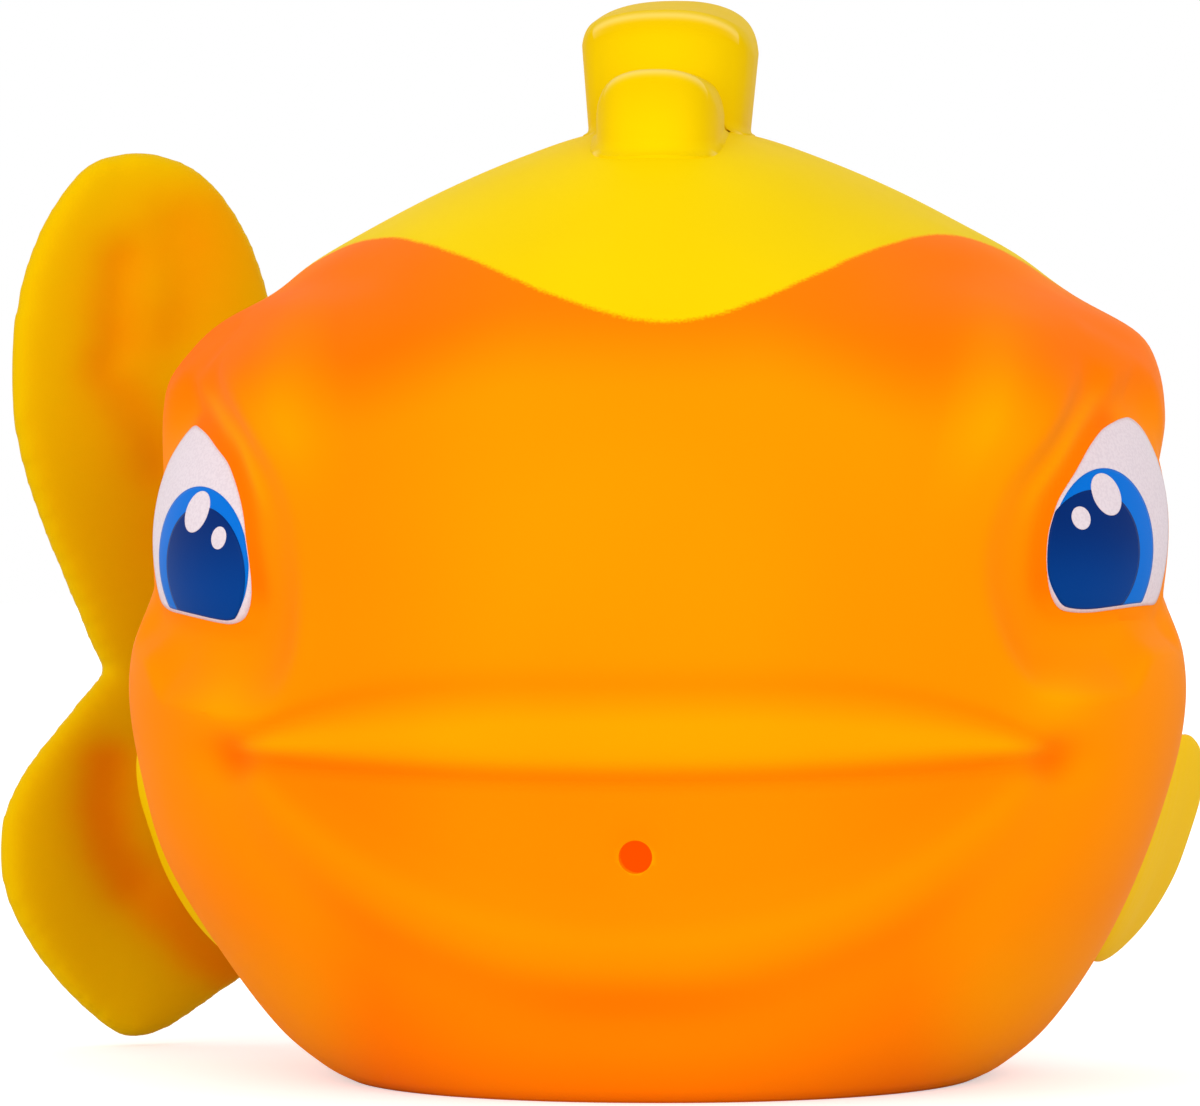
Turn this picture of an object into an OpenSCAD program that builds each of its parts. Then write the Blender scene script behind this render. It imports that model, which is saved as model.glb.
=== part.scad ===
// Squeaky bath toy: a round hollow fish of soft vinyl that squirts from its mouth
// The nose points to -Y, the fish's left side to +X, and the flat base lies on z = 0

/* [Body] */
// Width of the body across the cheeks
body_w = 72; // [54:1:90]
// Height of the crown over the base
body_h = 66.2; // [52:1:80]
// Length from the middle of the base to the nose
nose_len = 26.5; // [22:0.5:34]
// Length from the middle of the base to the rump
rump_len = 34; // [28:0.5:42]
// Wall of the moulding
wall = 2.5; // [2:0.1:3]
// Thickness of the floor round the squeaker
floor_wall = 3.2; // [3:0.1:4]
// Thickness of the crown under the dorsal fin
crown_wall = 4.2; // [3.8:0.1:6]
// Length of the swelling that carries the tail
tail_stub = 7; // [6:0.5:9]

/* [Face] */
// Height of the squirt hole
squirt_z = 16.4; // [15:0.2:18]
// Diameter of the squirt hole
squirt_d = 2.2; // [1.6:0.1:3]
// Diameter of the flared mouth of the squirt hole
squirt_flare_d = 3.2; // [3.1:0.1:4.4]
// Depth of the flare
squirt_flare = 0.5; // [0.3:0.1:0.8]
// Height of the mouth line at the nose
mouth_z = 21; // [19.5:0.1:22.5]
// Height of the corners of the mouth
corner_z = 23; // [21.5:0.1:24.5]
// Distance of a corner of the mouth from the middle
corner_x = 27.4; // [26:0.2:30]
// Height of the edge of the lower lip at the nose
jaw_z = 10.3; // [9:0.1:11.5]
// How far the lips stand out
lip_rise = 0.9; // [0.5:0.1:1.2]
// Depth of the mouth line and of the groove under the lower lip
groove_deep = 1.0; // [0.6:0.1:1.2]
// How far the brows and the cheeks stand out
brow_rise = 1.1; // [0.6:0.1:1.6]
// How far the broad snout stands out
snout_rise = 0.9; // [0.4:0.1:1.4]

/* [Eyes] */
// Height of the middle of an eye
eye_z = 38.6; // [36:0.2:41]
// Width of the printed white of an eye
eye_w = 13.2; // [12:0.2:14]
// Height of the printed white of an eye
eye_h = 13; // [12:0.2:14]
// Radius of the domed eyeball
eyeball_r = 17; // [15:0.5:20]
// How far the eyeball stands out of the cheek
eye_rise = 0.7; // [0.6:0.1:1]
// Angle that an eye is turned out from straight ahead
eye_turn = 52; // [48:1:56]
// Thickness of the printed layer
print_t = 0.7; // [0.6:0.1:0.9]
// Diameter of the blue iris
iris_d = 11.8; // [11.4:0.1:12.2]
// Diameter of the dark pupil
pupil_d = 9.5; // [8.8:0.1:9.8]
// Diameter of the large glint
glint_d = 3; // [2.2:0.1:3.4]
// Diameter of the small glint
small_glint_d = 1.6; // [1:0.1:1.8]

/* [Dorsal fin] */
// Width of the front lobe
front_lobe_w = 8.7; // [7.9:0.2:9.7]
// Height of the front lobe over the base
front_lobe_z = 69.6; // [68:0.2:71]
// Width of the rear lobe
rear_lobe_w = 12.4; // [11:0.2:14]
// Height of the rear lobe over the base
rear_lobe_z = 75.6; // [73:0.2:79]
// Place of the front of the fin along the body
front_lobe_y = -4.4; // [-6:0.2:-3]
// Length of the front lobe
front_lobe_len = 12; // [11:0.5:14]
// Length of the rear lobe
rear_lobe_len = 15; // [13:0.5:17]
// Rounding of the lobes
lobe_round = 1.9; // [1.4:0.1:2.4]
// Depth that the fins are set into the wall
seat_deep = 1.3; // [1:0.1:1.5]

/* [Side fins] */
// Height of a side fin
side_fin_h = 15; // [13:0.2:16]
// Length of a side fin
side_fin_len = 13; // [11:0.5:15]
// Thickness of a side fin
side_fin_t = 2.6; // [2:0.1:3]
// Height of the middle of a side fin
side_fin_z = 16.2; // [15:0.2:17]

/* [Tail] */
// Reach of the tail from its hinge to the outer rim
tail_reach = 45; // [38:1:50]
// Height of the tail over the base
tail_h = 65.3; // [58:0.5:70]
// Thickness of the rounded rim
tail_rim = 4.4; // [3.6:0.2:5]
// Depth of the hollow in each lobe
tail_hollow = 1.7; // [1:0.1:1.9]
// How far the outer rim curls forward
tail_curl = 17; // [10:1:20]
// Diameter of the neck that the tail flexes about
neck_d = 12; // [11:0.2:13]
// Height of the neck
neck_h = 21; // [19:0.5:23]
// Height of the middle of the neck
neck_z = 31; // [29:0.5:33]
// Gap between the neck and the body
neck_gap = 0.35; // [0.3:0.05:0.5]

/* [Squeaker] */
// Diameter of the hole in the floor
socket_d = 15.6; // [14.6:0.2:17]
// Width of the flange round the hole
flange_w = 2.2; // [1.8:0.1:2.6]
// Thickness of the flange
flange_t = 1.1; // [0.9:0.1:1.3]
// How far the flange lies back from the base
flange_back = 0.3; // [0.2:0.05:0.4]
// How far the snap ridge stands out inside
ridge_w = 0.9; // [0.6:0.1:1.2]
// Height of the cup above the floor
cup_h = 9; // [8:0.5:11]
// Wall of the cup
cup_wall = 1.2; // [1:0.1:1.4]
// Thickness of the perforated cover
cover_t = 1.0; // [0.8:0.1:1.2]
// Diameter of a sound hole
sound_hole_d = 1.4; // [1:0.1:1.8]
// Number of sound holes in the ring
sound_holes = 6; // [4:1:8]
// Thickness of the reed
reed_t = 0.2; // [0.15:0.05:0.3]
// Width of the reed
reed_w = 3; // [2.6:0.1:3.4]
// Clearance on each face of the reed where it is pinched
reed_gap = 0.12; // [0.1:0.01:0.15]
// Width of the air slot under the reed
slot_w = 2.2; // [1.8:0.1:2.4]

/* [Hidden] */
$fn = 64;
cut = 1;
half_w = body_w / 2;

// Outline of the body in rows from the base to the crown
// Each row holds the shares of height, half width, depth in front of the widest line and behind it,
// and how far back that line lies
skin_shares = [
  [0, 0.605, 1.019, 0.559, 0.206], [0.014, 0.655, 1.049, 0.603, 0.200], [0.05, 0.734, 1.072, 0.659, 0.182],
  [0.109, 0.814, 1.068, 0.741, 0.147], [0.183, 0.887, 1.045, 0.835, 0.094],
  [0.275, 0.953, 0.996, 0.935, 0.035], [0.367, 0.997, 0.985, 0.985, 0.009], [0.443, 0.997, 0.996, 1, 0],
  [0.52, 0.950, 1.011, 0.979, 0.009], [0.607, 0.943, 1.053, 0.882, 0.059],
  [0.692, 0.964, 1.110, 0.735, 0.153], [0.76, 0.930, 1.143, 0.600, 0.265],
  [0.816, 0.795, 1.132, 0.465, 0.365], [0.87, 0.647, 1.075, 0.348, 0.444],
  [0.923, 0.475, 0.974, 0.238, 0.506], [0.964, 0.306, 0.823, 0.147, 0.541],
  [0.991, 0.156, 0.543, 0.072, 0.556], [1, 0, 0, 0, 0.56]];
skin_rows = len(skin_shares) - 1;
front_steps = 38;
rear_steps = 20;
// The rows of the mouth are the finest
function steps_in(i) = i < 2 ? 1 : i < 8 ? 5 : i < 13 ? 3 : 2;
skin_places = [for (i = [0 : skin_rows - 1]) for (k = [0 : steps_in(i) - 1]) i + k / steps_in(i)];
// How square a slice is: round at the base and the crown, and squarer in front between them
round_power = 2.1;
square_power = 2.5;
square_shares = [0.27, 0.72, 0.92];

function mix(a, b, share) = a + (b - a) * share;
function clamp01(u) = max(0, min(1, u));
function ease(u) = clamp01(u) * clamp01(u) * (3 - 2 * clamp01(u));
function bell(d) = exp(-d * d);
function row_at(rows, i) = rows[max(0, min(len(rows) - 1, i))];
// A smooth curve through the rows, at t counted in rows
function curve_at(rows, t) =
  let (i = min(floor(t), len(rows) - 2), u = t - i)
  let (p0 = row_at(rows, i - 1), p1 = row_at(rows, i), p2 = row_at(rows, i + 1), p3 = row_at(rows, i + 2))
  p1 + (p2 - p0) * (u / 2) + (2 * p0 - 5 * p1 + 4 * p2 - p3) * (u * u / 2)
  + (3 * p1 - p0 - 3 * p2 + p3) * (u * u * u / 2);
function powered(v, power) = sign(v) * pow(abs(v), 2 / power);
// Height along the rows, from a height over the base
function row_of_height(z, i = 0) =
  i >= skin_rows - 1 || z < skin_shares[i + 1][0] * body_h
  ? i + (z / body_h - skin_shares[i][0]) / (skin_shares[i + 1][0] - skin_shares[i][0])
  : row_of_height(z, i + 1);

// Lines of the face, as heights over the base at a distance x from the middle
function mouth_line(x) = mix(mouth_z, corner_z, pow(abs(x) / corner_x, 2));
jaw_power = 2.3;
function jaw_line(x) = mix(jaw_z, corner_z, pow(abs(x) / corner_x, jaw_power));
lip_top = 3.8;
lip_line_w = 1.7;
groove_w = 1.3;
jaw_w = 1.9;
chin_drop = 4;
chin_w = 2.2;
brow_x = 23.2;
brow_z = 46;
brow_lean = 0.45;
brow_w = 2.6;
brow_len = 6.4;
cheek_z = 26.8;
cheek_w = 5.2;
snout_z = 36;
snout_w = 17;
snout_h = 9.5;
dimple_w = 2;
lip_end_share = 0.84;
lip_fade_share = 0.2;
cheek_share = 0.6;
// How far the skin of the face stands out at a distance x from the middle and a height z
function face_rise(x, z) =
  let (ax = abs(x), in_mouth = 1 - ease((ax / corner_x - lip_end_share) / lip_fade_share))
  snout_rise * bell(x / snout_w) * bell((z - snout_z) / snout_h)
  + brow_rise * bell((ax - brow_x - (z - brow_z) * brow_lean) / brow_w) * bell((z - brow_z) / brow_len)
  + brow_rise * cheek_share * bell((ax - corner_x) / cheek_w) * bell((z - cheek_z) / cheek_w)
  + lip_rise * in_mouth * bell((z - mouth_line(x) - lip_top) / lip_line_w)
  - groove_deep * in_mouth * bell((z - mouth_line(x)) / groove_w)
  - groove_deep * bell((ax - corner_x) / dimple_w) * bell((z - corner_z) / dimple_w)
  + lip_rise * in_mouth * bell((z - jaw_line(x)) / jaw_w)
  - groove_deep * bell(x / snout_w) * bell((z - jaw_line(x) + chin_drop) / chin_w);
stub_x = -3;
stub_w = 8;
stub_h = 11;
// How far the rump stands out towards the tail
function rump_rise(x, z) = tail_stub * bell((x - stub_x) / stub_w) * bell((z - neck_z) / stub_h);

function front_power(share) =
  let (fading = (share - square_shares[1]) / (square_shares[2] - square_shares[1]))
  mix(round_power, square_power, ease(share / square_shares[0]) * (1 - ease(fading)));
// A point of the body at row t and angle turn, where -90 is the nose and 90 the rump
function plain_point(t, turn, inset = 0) =
  let (r = curve_at(skin_shares, t), power = turn < 0 ? front_power(r[0]) : round_power)
  let (deep = turn < 0 ? r[2] * (nose_len - inset) : r[3] * (rump_len - inset))
  [r[1] * (half_w - inset) * powered(cos(turn), power),
    r[4] * rump_len + deep * powered(sin(turn), power), r[0] * body_h];
function skin_point(t, turn) =
  let (p = plain_point(t, turn), facing = abs(sin(turn)))
  turn < 0
  ? p + face_rise(p[0], p[2]) * ease(facing * 2) * [cos(turn), -facing, 0]
  : p + [0, rump_rise(p[0], p[2]) * ease(facing * 2), 0];
// The cavity follows the same rows at a smaller size, without the forms of the face
function cavity_point(t, turn) =
  let (p = plain_point(t, turn, wall), share = p[2] / body_h, low = skin_shares[2][0])
  [p[0], p[1], mix(floor_wall, body_h - crown_wall, (share - low) / (1 - low))];
crown_y = rump_len * skin_shares[skin_rows][4];

ring_turns = concat(
  [for (i = [0 : front_steps - 1]) -180 + 180 * i / front_steps],
  [for (i = [0 : rear_steps - 1]) 180 * i / rear_steps]);
core_share = 0.9;
socket_core = socket_d / 2 * core_share;
function flat_ring(r, z) = [for (turn = ring_turns) [r * cos(turn), r * sin(turn), z]];
shell_rings = concat(
  [for (i = [len(skin_places) - 1 : -1 : 0]) [for (turn = ring_turns) skin_point(skin_places[i], turn)]],
  [[for (turn = ring_turns) let (p = skin_point(0, turn)) [p[0], p[1], -cut]]],
  [flat_ring(socket_core, -cut), flat_ring(socket_core, floor_wall)],
  [for (i = [2 : skin_rows - 1]) [for (turn = ring_turns) cavity_point(i, turn)]]);

// A closed surface through rings of equal count, closed by a point at each end
module skinned(rings, first_point, last_point) {
  count = len(rings[0]);
  points = concat([first_point], [for (ring = rings) each ring], [last_point]);
  last = len(points) - 1;
  faces = concat(
    [for (j = [0 : count - 1]) [0, 1 + (j + 1) % count, 1 + j]],
    [for (i = [0 : len(rings) - 2]) for (j = [0 : count - 1]) for (half = [0, 1])
      let (a = 1 + i * count + j, b = 1 + i * count + (j + 1) % count)
      half == 0 ? [a, b, b + count] : [a, b + count, a + count]],
    [for (j = [0 : count - 1]) [last, last - count + j, last - count + (j + 1) % count]]);
  polyhedron(points, faces);
}

// The hollow moulding, cut flat at the base, bored for the squeaker and less what is given as children
module moulding() {
  difference() {
    skinned(shell_rings, [0, crown_y, body_h], [0, crown_y, body_h - crown_wall]);
    translate([-body_w, -body_w, -2 * cut]) cube([2 * body_w, 2 * body_w, 2 * cut]);
    cylinder(d = socket_d, h = floor_wall + cut);
    translate([0, 0, -cut]) cylinder(d = socket_d + 2 * flange_w, h = cut + flange_t + flange_back);
    neck(neck_gap);
    children();
  }
}

// Paint line between the orange front and the yellow back, which slopes down to the tail
saddle_front_share = 0.574;
saddle_side_share = 0.807;
saddle_w_share = 0.583;
saddle_shift_share = 0.028;
saddle_front_z = body_h * saddle_front_share;
saddle_side_z = body_h * saddle_side_share;
saddle_w = half_w * saddle_w_share;
saddle_x = half_w * saddle_shift_share;
saddle_slope = 25;
saddle_steps = 8;
saddle_bend = 1.18;
function saddle_rise(share) = (1 + saddle_bend) * share * share / (share + saddle_bend);
// All that lies on one side of the paint line: above it for way 1, below it for way -1
module paint_side(way) {
  reach = 2 * body_w;
  line = [for (i = [-saddle_steps : saddle_steps])
    [saddle_w * i / saddle_steps, mix(saddle_front_z, saddle_side_z, saddle_rise(abs(i) / saddle_steps))]];
  rotate([90 - saddle_slope, 0, 0])
    translate([saddle_x, 0, -reach])
      linear_extrude(2 * reach)
        polygon(concat([[-reach, saddle_side_z]], line,
          [[reach, saddle_side_z], [reach, way * reach], [-reach, way * reach]]));
}

// Eye frame: the middle of the eye on the cheek, with Z pointing out of the eye
eye_row = row_of_height(eye_z);
eye_spot_turn = -27.5;
eye_spot = plain_point(eye_row, eye_spot_turn);
eye_lift = 4;
module at_eye(side) {
  mirror([side < 0 ? 1 : 0, 0, 0])
    translate(eye_spot)
      rotate([0, 0, eye_turn])
        rotate([90 - eye_lift, 0, 0])
          children();
}
module eyeball(sunk) {
  translate([0, 0, eye_rise - eyeball_r]) sphere(r = eyeball_r - sunk);
}
eye_steps = 36;
eye_top_power = 1.9;
eye_low_power = 2.4;
// The two eyes are printed a little differently: the fish's right eye comes first, then its left one
function of_side(pair, side) = pair[side < 0 ? 0 : 1];
// Shares of the eye's width and height: its size, its middle, and its lean above and below that
white_shares = [[0.962, 1.023, -0.064, -0.027, 0.28, 0.10], [1, 1, 0.053, 0.015, 0.42, 0.30]];
// Outline of the white: a leaning arch above and a flatter lid below
module white_outline(side) {
  own = of_side(white_shares, side);
  polygon([for (i = [0 : eye_steps - 1]) let (turn = 360 * i / eye_steps)
    let (power = turn < 180 ? eye_top_power : eye_low_power, lean = turn < 180 ? own[4] : own[5])
    let (up = eye_h / 2 * own[1] * powered(sin(turn), power))
    [eye_w * own[2] + eye_w / 2 * own[0] * powered(cos(turn), power) + lean * up, eye_h * own[3] + up]]);
}
eye_reach = eyeball_r;
module eye_column(side) {
  translate([0, 0, -eye_reach / 2]) linear_extrude(eye_reach) white_outline(side);
}
// A round column through the print, whose own shares give its middle and its size
module disc_column(own, d) {
  translate([eye_w * own[0], eye_h * own[1], -eye_reach / 2]) cylinder(d = d * own[2], h = eye_reach);
}
iris_shares = [[-0.159, -0.262, 0.915], [-0.045, -0.192, 1]];
pupil_shares = [[-0.178, -0.300, 0.884], [-0.136, -0.223, 1]];
glint_shares = [[-0.208, 0.022, 0.92], [-0.087, 0.112, 1]];
small_glint_shares = [[-0.375, -0.111, 0.86], [-0.303, -0.008, 1]];
module iris_disc(side) disc_column(of_side(iris_shares, side), iris_d);
module pupil_disc(side) disc_column(of_side(pupil_shares, side), pupil_d);
module glint_discs(side) {
  disc_column(of_side(glint_shares, side), glint_d);
  disc_column(of_side(small_glint_shares, side), small_glint_d);
}
// The printed layer inside the outline of the eye
module print_layer(side) {
  intersection() {
    eye_column(side);
    difference() {
      eyeball(0);
      eyeball(print_t);
    }
  }
}
module eye_socket(side) {
  difference() {
    eye_column(side);
    eyeball(print_t);
  }
}
module eye_white(side) color("whitesmoke") at_eye(side) difference() {
  print_layer(side);
  iris_disc(side);
  pupil_disc(side);
  glint_discs(side);
}
module eye_iris(side) color("dodgerblue") at_eye(side) difference() {
  intersection() {
    print_layer(side);
    iris_disc(side);
  }
  pupil_disc(side);
  glint_discs(side);
}
module eye_pupil(side) color("midnightblue") at_eye(side) difference() {
  intersection() {
    print_layer(side);
    pupil_disc(side);
  }
  glint_discs(side);
}
module eye_glints(side) color("white") at_eye(side) intersection() {
  print_layer(side);
  glint_discs(side);
}

// Dorsal fin: a front lobe and a taller rear lobe that rises towards its back, sunk into the crown
crown_from_share = 0.7;
crown_fine = 10;
// Height of the crown over a place along Y
function crown_at(y) =
  let (turn = y < crown_y ? -90 : 90, first = row_of_height(body_h * crown_from_share))
  let (rows = [for (i = [first : 1 / crown_fine : skin_rows]) skin_point(i, turn)])
  max([for (p = rows) if (turn < 0 ? p[1] <= y : p[1] >= y) p[2]]);
rear_lobe_rise = 1.6;
lobe_facets = 16;
foot_share = 0.4;
front_foot_w_share = 0.97;
rear_foot_w_share = 0.87;
front_lobe_lean = 0.3;
rear_lobe_lean = 1.6;
// A rounded block with its foot in the crown and its top at height z, between two places along Y
module lobe(w, foot_w, y0, y1, z0, z1, lean) {
  hull()
    for (side = [-1, 1], end = [[y0, z0], [y1, z1]]) {
      foot_z = crown_at(end[0]) - seat_deep + lobe_round * foot_share;
      translate([side * (foot_w / 2 - lobe_round), end[0], foot_z]) sphere(r = lobe_round, $fn = lobe_facets);
      translate([side * (w / 2 - lobe_round), end[0] + lean, end[1] - lobe_round])
        sphere(r = lobe_round, $fn = lobe_facets);
    }
}
rear_lobe_y = front_lobe_y + front_lobe_len - lobe_round;
rear_lobe_end = rear_lobe_y + rear_lobe_len - 2 * lobe_round;
module dorsal_form() {
  lobe(front_lobe_w, front_lobe_w * front_foot_w_share, front_lobe_y + lobe_round,
    front_lobe_y + front_lobe_len, front_lobe_z, front_lobe_z, front_lobe_lean);
  lobe(rear_lobe_w, rear_lobe_w * rear_foot_w_share, rear_lobe_y, rear_lobe_end,
    rear_lobe_z - rear_lobe_rise, rear_lobe_z, rear_lobe_lean);
}

// Side fin: a rounded paddle that sweeps back from the flank
side_fin_row = row_of_height(side_fin_z);
side_fin_spot_turn = 12;
side_fin_spot = plain_point(side_fin_row, side_fin_spot_turn);
side_fin_sweep = 77;
side_fin_tilt = 18;
side_fin_sides = 24;
side_fin_layers = 3;
side_fin_root_power = 5;
side_fin_tip_power = 2.3;
side_fin_taper_share = 0.3;
side_fin_rise_share = 0.25;
// One outline of the paddle, square at its root, drawn in towards the faces at level from -1 to 1
// It narrows and rises towards its tip
function side_fin_ring(level) =
  let (inset = side_fin_t / 2 * (1 - sqrt(1 - level * level)), y = side_fin_t / 2 * level)
  [for (i = [0 : side_fin_sides - 1]) let (turn = 360 * i / side_fin_sides)
    let (power = abs(turn - 180) < 90 ? side_fin_root_power : side_fin_tip_power)
    let (x = side_fin_len / 2 + (side_fin_len / 2 - inset) * powered(cos(turn), power))
    let (out = x / side_fin_len)
    let (up = (side_fin_h / 2 - inset) * powered(sin(turn), power) * (1 - side_fin_taper_share * out))
    [x, y, up + side_fin_h * side_fin_rise_share * out * out]];
module side_fin_form(side) {
  rings = [for (k = [-side_fin_layers : side_fin_layers]) side_fin_ring(sin(90 * k / side_fin_layers))];
  mid = [side_fin_len / 2, 0, side_fin_h * side_fin_rise_share / 4];
  face = [0, side_fin_t / 2, 0];
  mirror([side < 0 ? 1 : 0, 0, 0])
    translate(side_fin_spot)
      rotate([0, 0, side_fin_sweep])
        rotate([side_fin_tilt, 0, 0])
          translate([-seat_deep, 0, 0])
            skinned(rings, mid - face, mid + face);
}

// Tail: two lobes on a round neck, each a row of chords from its outer edge to its inner edge
// Each row holds the shares of reach and height of the outer end, then those of the inner end
neck_x = -4;
neck_stand = 1;
neck_y = rump_len + tail_stub + neck_stand;
upper_shares = [
  [0.04, 0.36, 0, 0.60], [0.40, 0.40, 0.22, 0.64], [0.70, 0.405, 0.44, 0.70], [0.855, 0.425, 0.56, 0.77],
  [0.90, 0.52, 0.605, 0.83], [0.958, 0.61, 0.62, 0.875], [0.982, 0.71, 0.645, 0.91],
  [0.978, 0.81, 0.675, 0.95], [0.955, 0.90, 0.71, 0.98], [0.90, 0.965, 0.755, 0.995]];
upper_tip_share = [0.83, 1];
lower_shares = [
  [0.02, 0.58, 0.02, 0.34], [0.40, 0.50, 0.20, 0.27], [0.70, 0.435, 0.38, 0.19],
  [0.86, 0.405, 0.52, 0.125], [0.915, 0.352, 0.61, 0.085], [0.978, 0.297, 0.67, 0.06],
  [1, 0.219, 0.715, 0.040], [0.982, 0.143, 0.75, 0.026], [0.932, 0.077, 0.785, 0.016]];
lower_tip_share = [0.85, 0.014];
tail_fine = 2;
tail_sides = 20;
tip_thinning = 0.35;
function tail_y(x) = neck_y - tail_curl * pow(max(0, neck_x - x) / tail_reach, 2);
function tail_ring(row, thick_share, way) =
  let (ax = neck_x - row[0] * tail_reach, az = row[1] * tail_h)
  let (bx = neck_x - row[2] * tail_reach, bz = row[3] * tail_h)
  [for (i = [0 : tail_sides - 1]) let (turn = way * 360 * i / tail_sides, u = cos(turn))
    let (x = mix(ax, bx, (1 - u) / 2), z = mix(az, bz, (1 - u) / 2))
    let (dip = sin(turn) < 0 ? tail_hollow * pow(1 - u * u, 2) * thick_share : 0)
    [x, tail_y(x) + tail_rim / 2 * thick_share * sin(turn) + dip, z]];
module tail_lobe(rows, tip_share, way) {
  count = (len(rows) - 1) * tail_fine;
  rings = [for (i = [0 : count]) let (thick_share = 1 - tip_thinning * pow(i / count, 4))
    tail_ring(curve_at(rows, i / tail_fine), thick_share, way)];
  root = (rings[0][0] + rings[0][tail_sides / 2]) / 2;
  tip_x = neck_x - tip_share[0] * tail_reach;
  skinned(rings, root, [tip_x, tail_y(tip_x), tip_share[1] * tail_h]);
}
// The round neck, with domed ends, or the room for it with a gap all round
neck_arc_steps = 6;
neck_power = 4;
module neck(gap) {
  r = neck_d / 2 + gap;
  h = neck_h / 2 + gap;
  dome = [for (i = [0 : neck_arc_steps]) let (turn = 90 * i / neck_arc_steps)
    [r * powered(cos(turn), neck_power), h * powered(sin(turn), neck_power)]];
  below = [for (i = [neck_arc_steps : -1 : 1]) [dome[i][0], -dome[i][1]]];
  translate([neck_x, neck_y, neck_z]) rotate_extrude() polygon(concat(below, dome));
}

// Body: the orange front and flanks of the hollow moulding
module body_shell() color("darkorange") moulding() {
  paint_side(1);
  for (side = [-1, 1]) {
    at_eye(side) eye_socket(side);
    side_fin_form(side);
  }
  squirt_hole();
}
module squirt_hole() {
  translate([0, 0, squirt_z]) rotate([90, 0, 0]) cylinder(d = squirt_d, h = nose_len + cut);
  front = skin_point(row_of_height(squirt_z), -90)[1];
  translate([0, front + squirt_flare, squirt_z])
    rotate([90, 0, 0])
      cylinder(d1 = squirt_d, d2 = squirt_flare_d + squirt_flare_d - squirt_d, h = 2 * squirt_flare);
}
// Back: the yellow part of the same moulding
module back_shell() color("gold") moulding() {
  paint_side(-1);
  dorsal_form();
}
module dorsal_fin() color("gold") dorsal_form();
module left_side_fin() color("gold") side_fin_form(1);
module right_side_fin() color("gold") side_fin_form(-1);
module tail_fin() color("gold") {
  neck(0);
  tail_lobe(upper_shares, upper_tip_share, 1);
  tail_lobe(lower_shares, lower_tip_share, -1);
}

// Squeaker: a cup pressed into the floor, with a reed pinched over an air slot
cup_d = socket_d;
cup_in_d = cup_d - 2 * cup_wall;
cup_top = floor_wall + cup_h;
flange_d = socket_d + 2 * flange_w;
ridge_h = 1.2;
cover_d = cup_in_d + cup_wall;
shelf_z = flange_back + cover_t;
module squeaker_cup() color("ivory") rotate_extrude() polygon([
  [cup_in_d / 2, shelf_z], [cover_d / 2, shelf_z], [cover_d / 2, flange_back], [flange_d / 2, flange_back],
  [flange_d / 2, flange_back + flange_t], [cup_d / 2, flange_back + flange_t], [cup_d / 2, floor_wall],
  [cup_d / 2 + ridge_w, floor_wall], [cup_d / 2, floor_wall + ridge_h], [cup_d / 2, cup_top],
  [cup_in_d / 2, cup_top]]);
module squeaker_cover() color("ivory") difference() {
  translate([0, 0, flange_back]) cylinder(d = cover_d, h = cover_t);
  for (i = [0 : sound_holes - 1])
    rotate([0, 0, 360 * i / sound_holes])
      translate([cup_in_d / 4, 0, flange_back - cut]) cylinder(d = sound_hole_d, h = cover_t + 2 * cut);
  translate([0, 0, flange_back - cut]) cylinder(d = sound_hole_d, h = cover_t + 2 * cut);
}

// The block fills the rear of the cup, the clamp lies on it, and the reed reaches over the slot
block_z = shelf_z;
block_h = 4;
reed_z = block_z + block_h + reed_gap;
clamp_h = cup_top - block_z - block_h - cut;
pinch_y = -cup_in_d * 0.08;
reed_root = cup_in_d * 0.12;
reed_tip = cup_in_d * 0.36;
slot_len = cup_in_d * 0.34;
chamber_h = block_h / 2;
module reed_block() color("whitesmoke") difference() {
  translate([0, 0, block_z]) cylinder(d = cup_in_d, h = block_h);
  translate([-slot_w / 2, pinch_y - slot_len, block_z - cut]) cube([slot_w, slot_len, block_h + 2 * cut]);
}
module reed_clamp() color("lightgray") difference() {
  intersection() {
    translate([0, 0, block_z + block_h]) cylinder(d = cup_in_d, h = clamp_h);
    translate([-cup_in_d, pinch_y, block_z]) cube([2 * cup_in_d, cup_in_d, cup_top]);
  }
  translate([-reed_w / 2 - reed_gap, pinch_y - cut, block_z + block_h - cut])
    cube([reed_w + 2 * reed_gap, cut + reed_root + reed_gap, cut + reed_t + 2 * reed_gap]);
}
module squeaker_reed() color("lightcyan")
  translate([-reed_w / 2, pinch_y - reed_tip, reed_z]) cube([reed_w, reed_tip + reed_root, reed_t]);

module left_eye_white() eye_white(1);
module right_eye_white() eye_white(-1);
module left_eye_iris() eye_iris(1);
module right_eye_iris() eye_iris(-1);
module left_eye_pupil() eye_pupil(1);
module right_eye_pupil() eye_pupil(-1);
module left_eye_glints() eye_glints(1);
module right_eye_glints() eye_glints(-1);

body_shell();
back_shell();
dorsal_fin();
tail_fin();
left_side_fin();
right_side_fin();
left_eye_white();
right_eye_white();
left_eye_iris();
right_eye_iris();
left_eye_pupil();
right_eye_pupil();
left_eye_glints();
right_eye_glints();
squeaker_cup();
squeaker_cover();
reed_block();
reed_clamp();
squeaker_reed();
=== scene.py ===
from bisect import bisect
from math import acos, atan2, cos, exp, hypot, log, pi, radians, sin, sqrt

import bmesh
import bpy
from mathutils import Matrix, Vector
from mathutils.bvhtree import BVHTree


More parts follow.
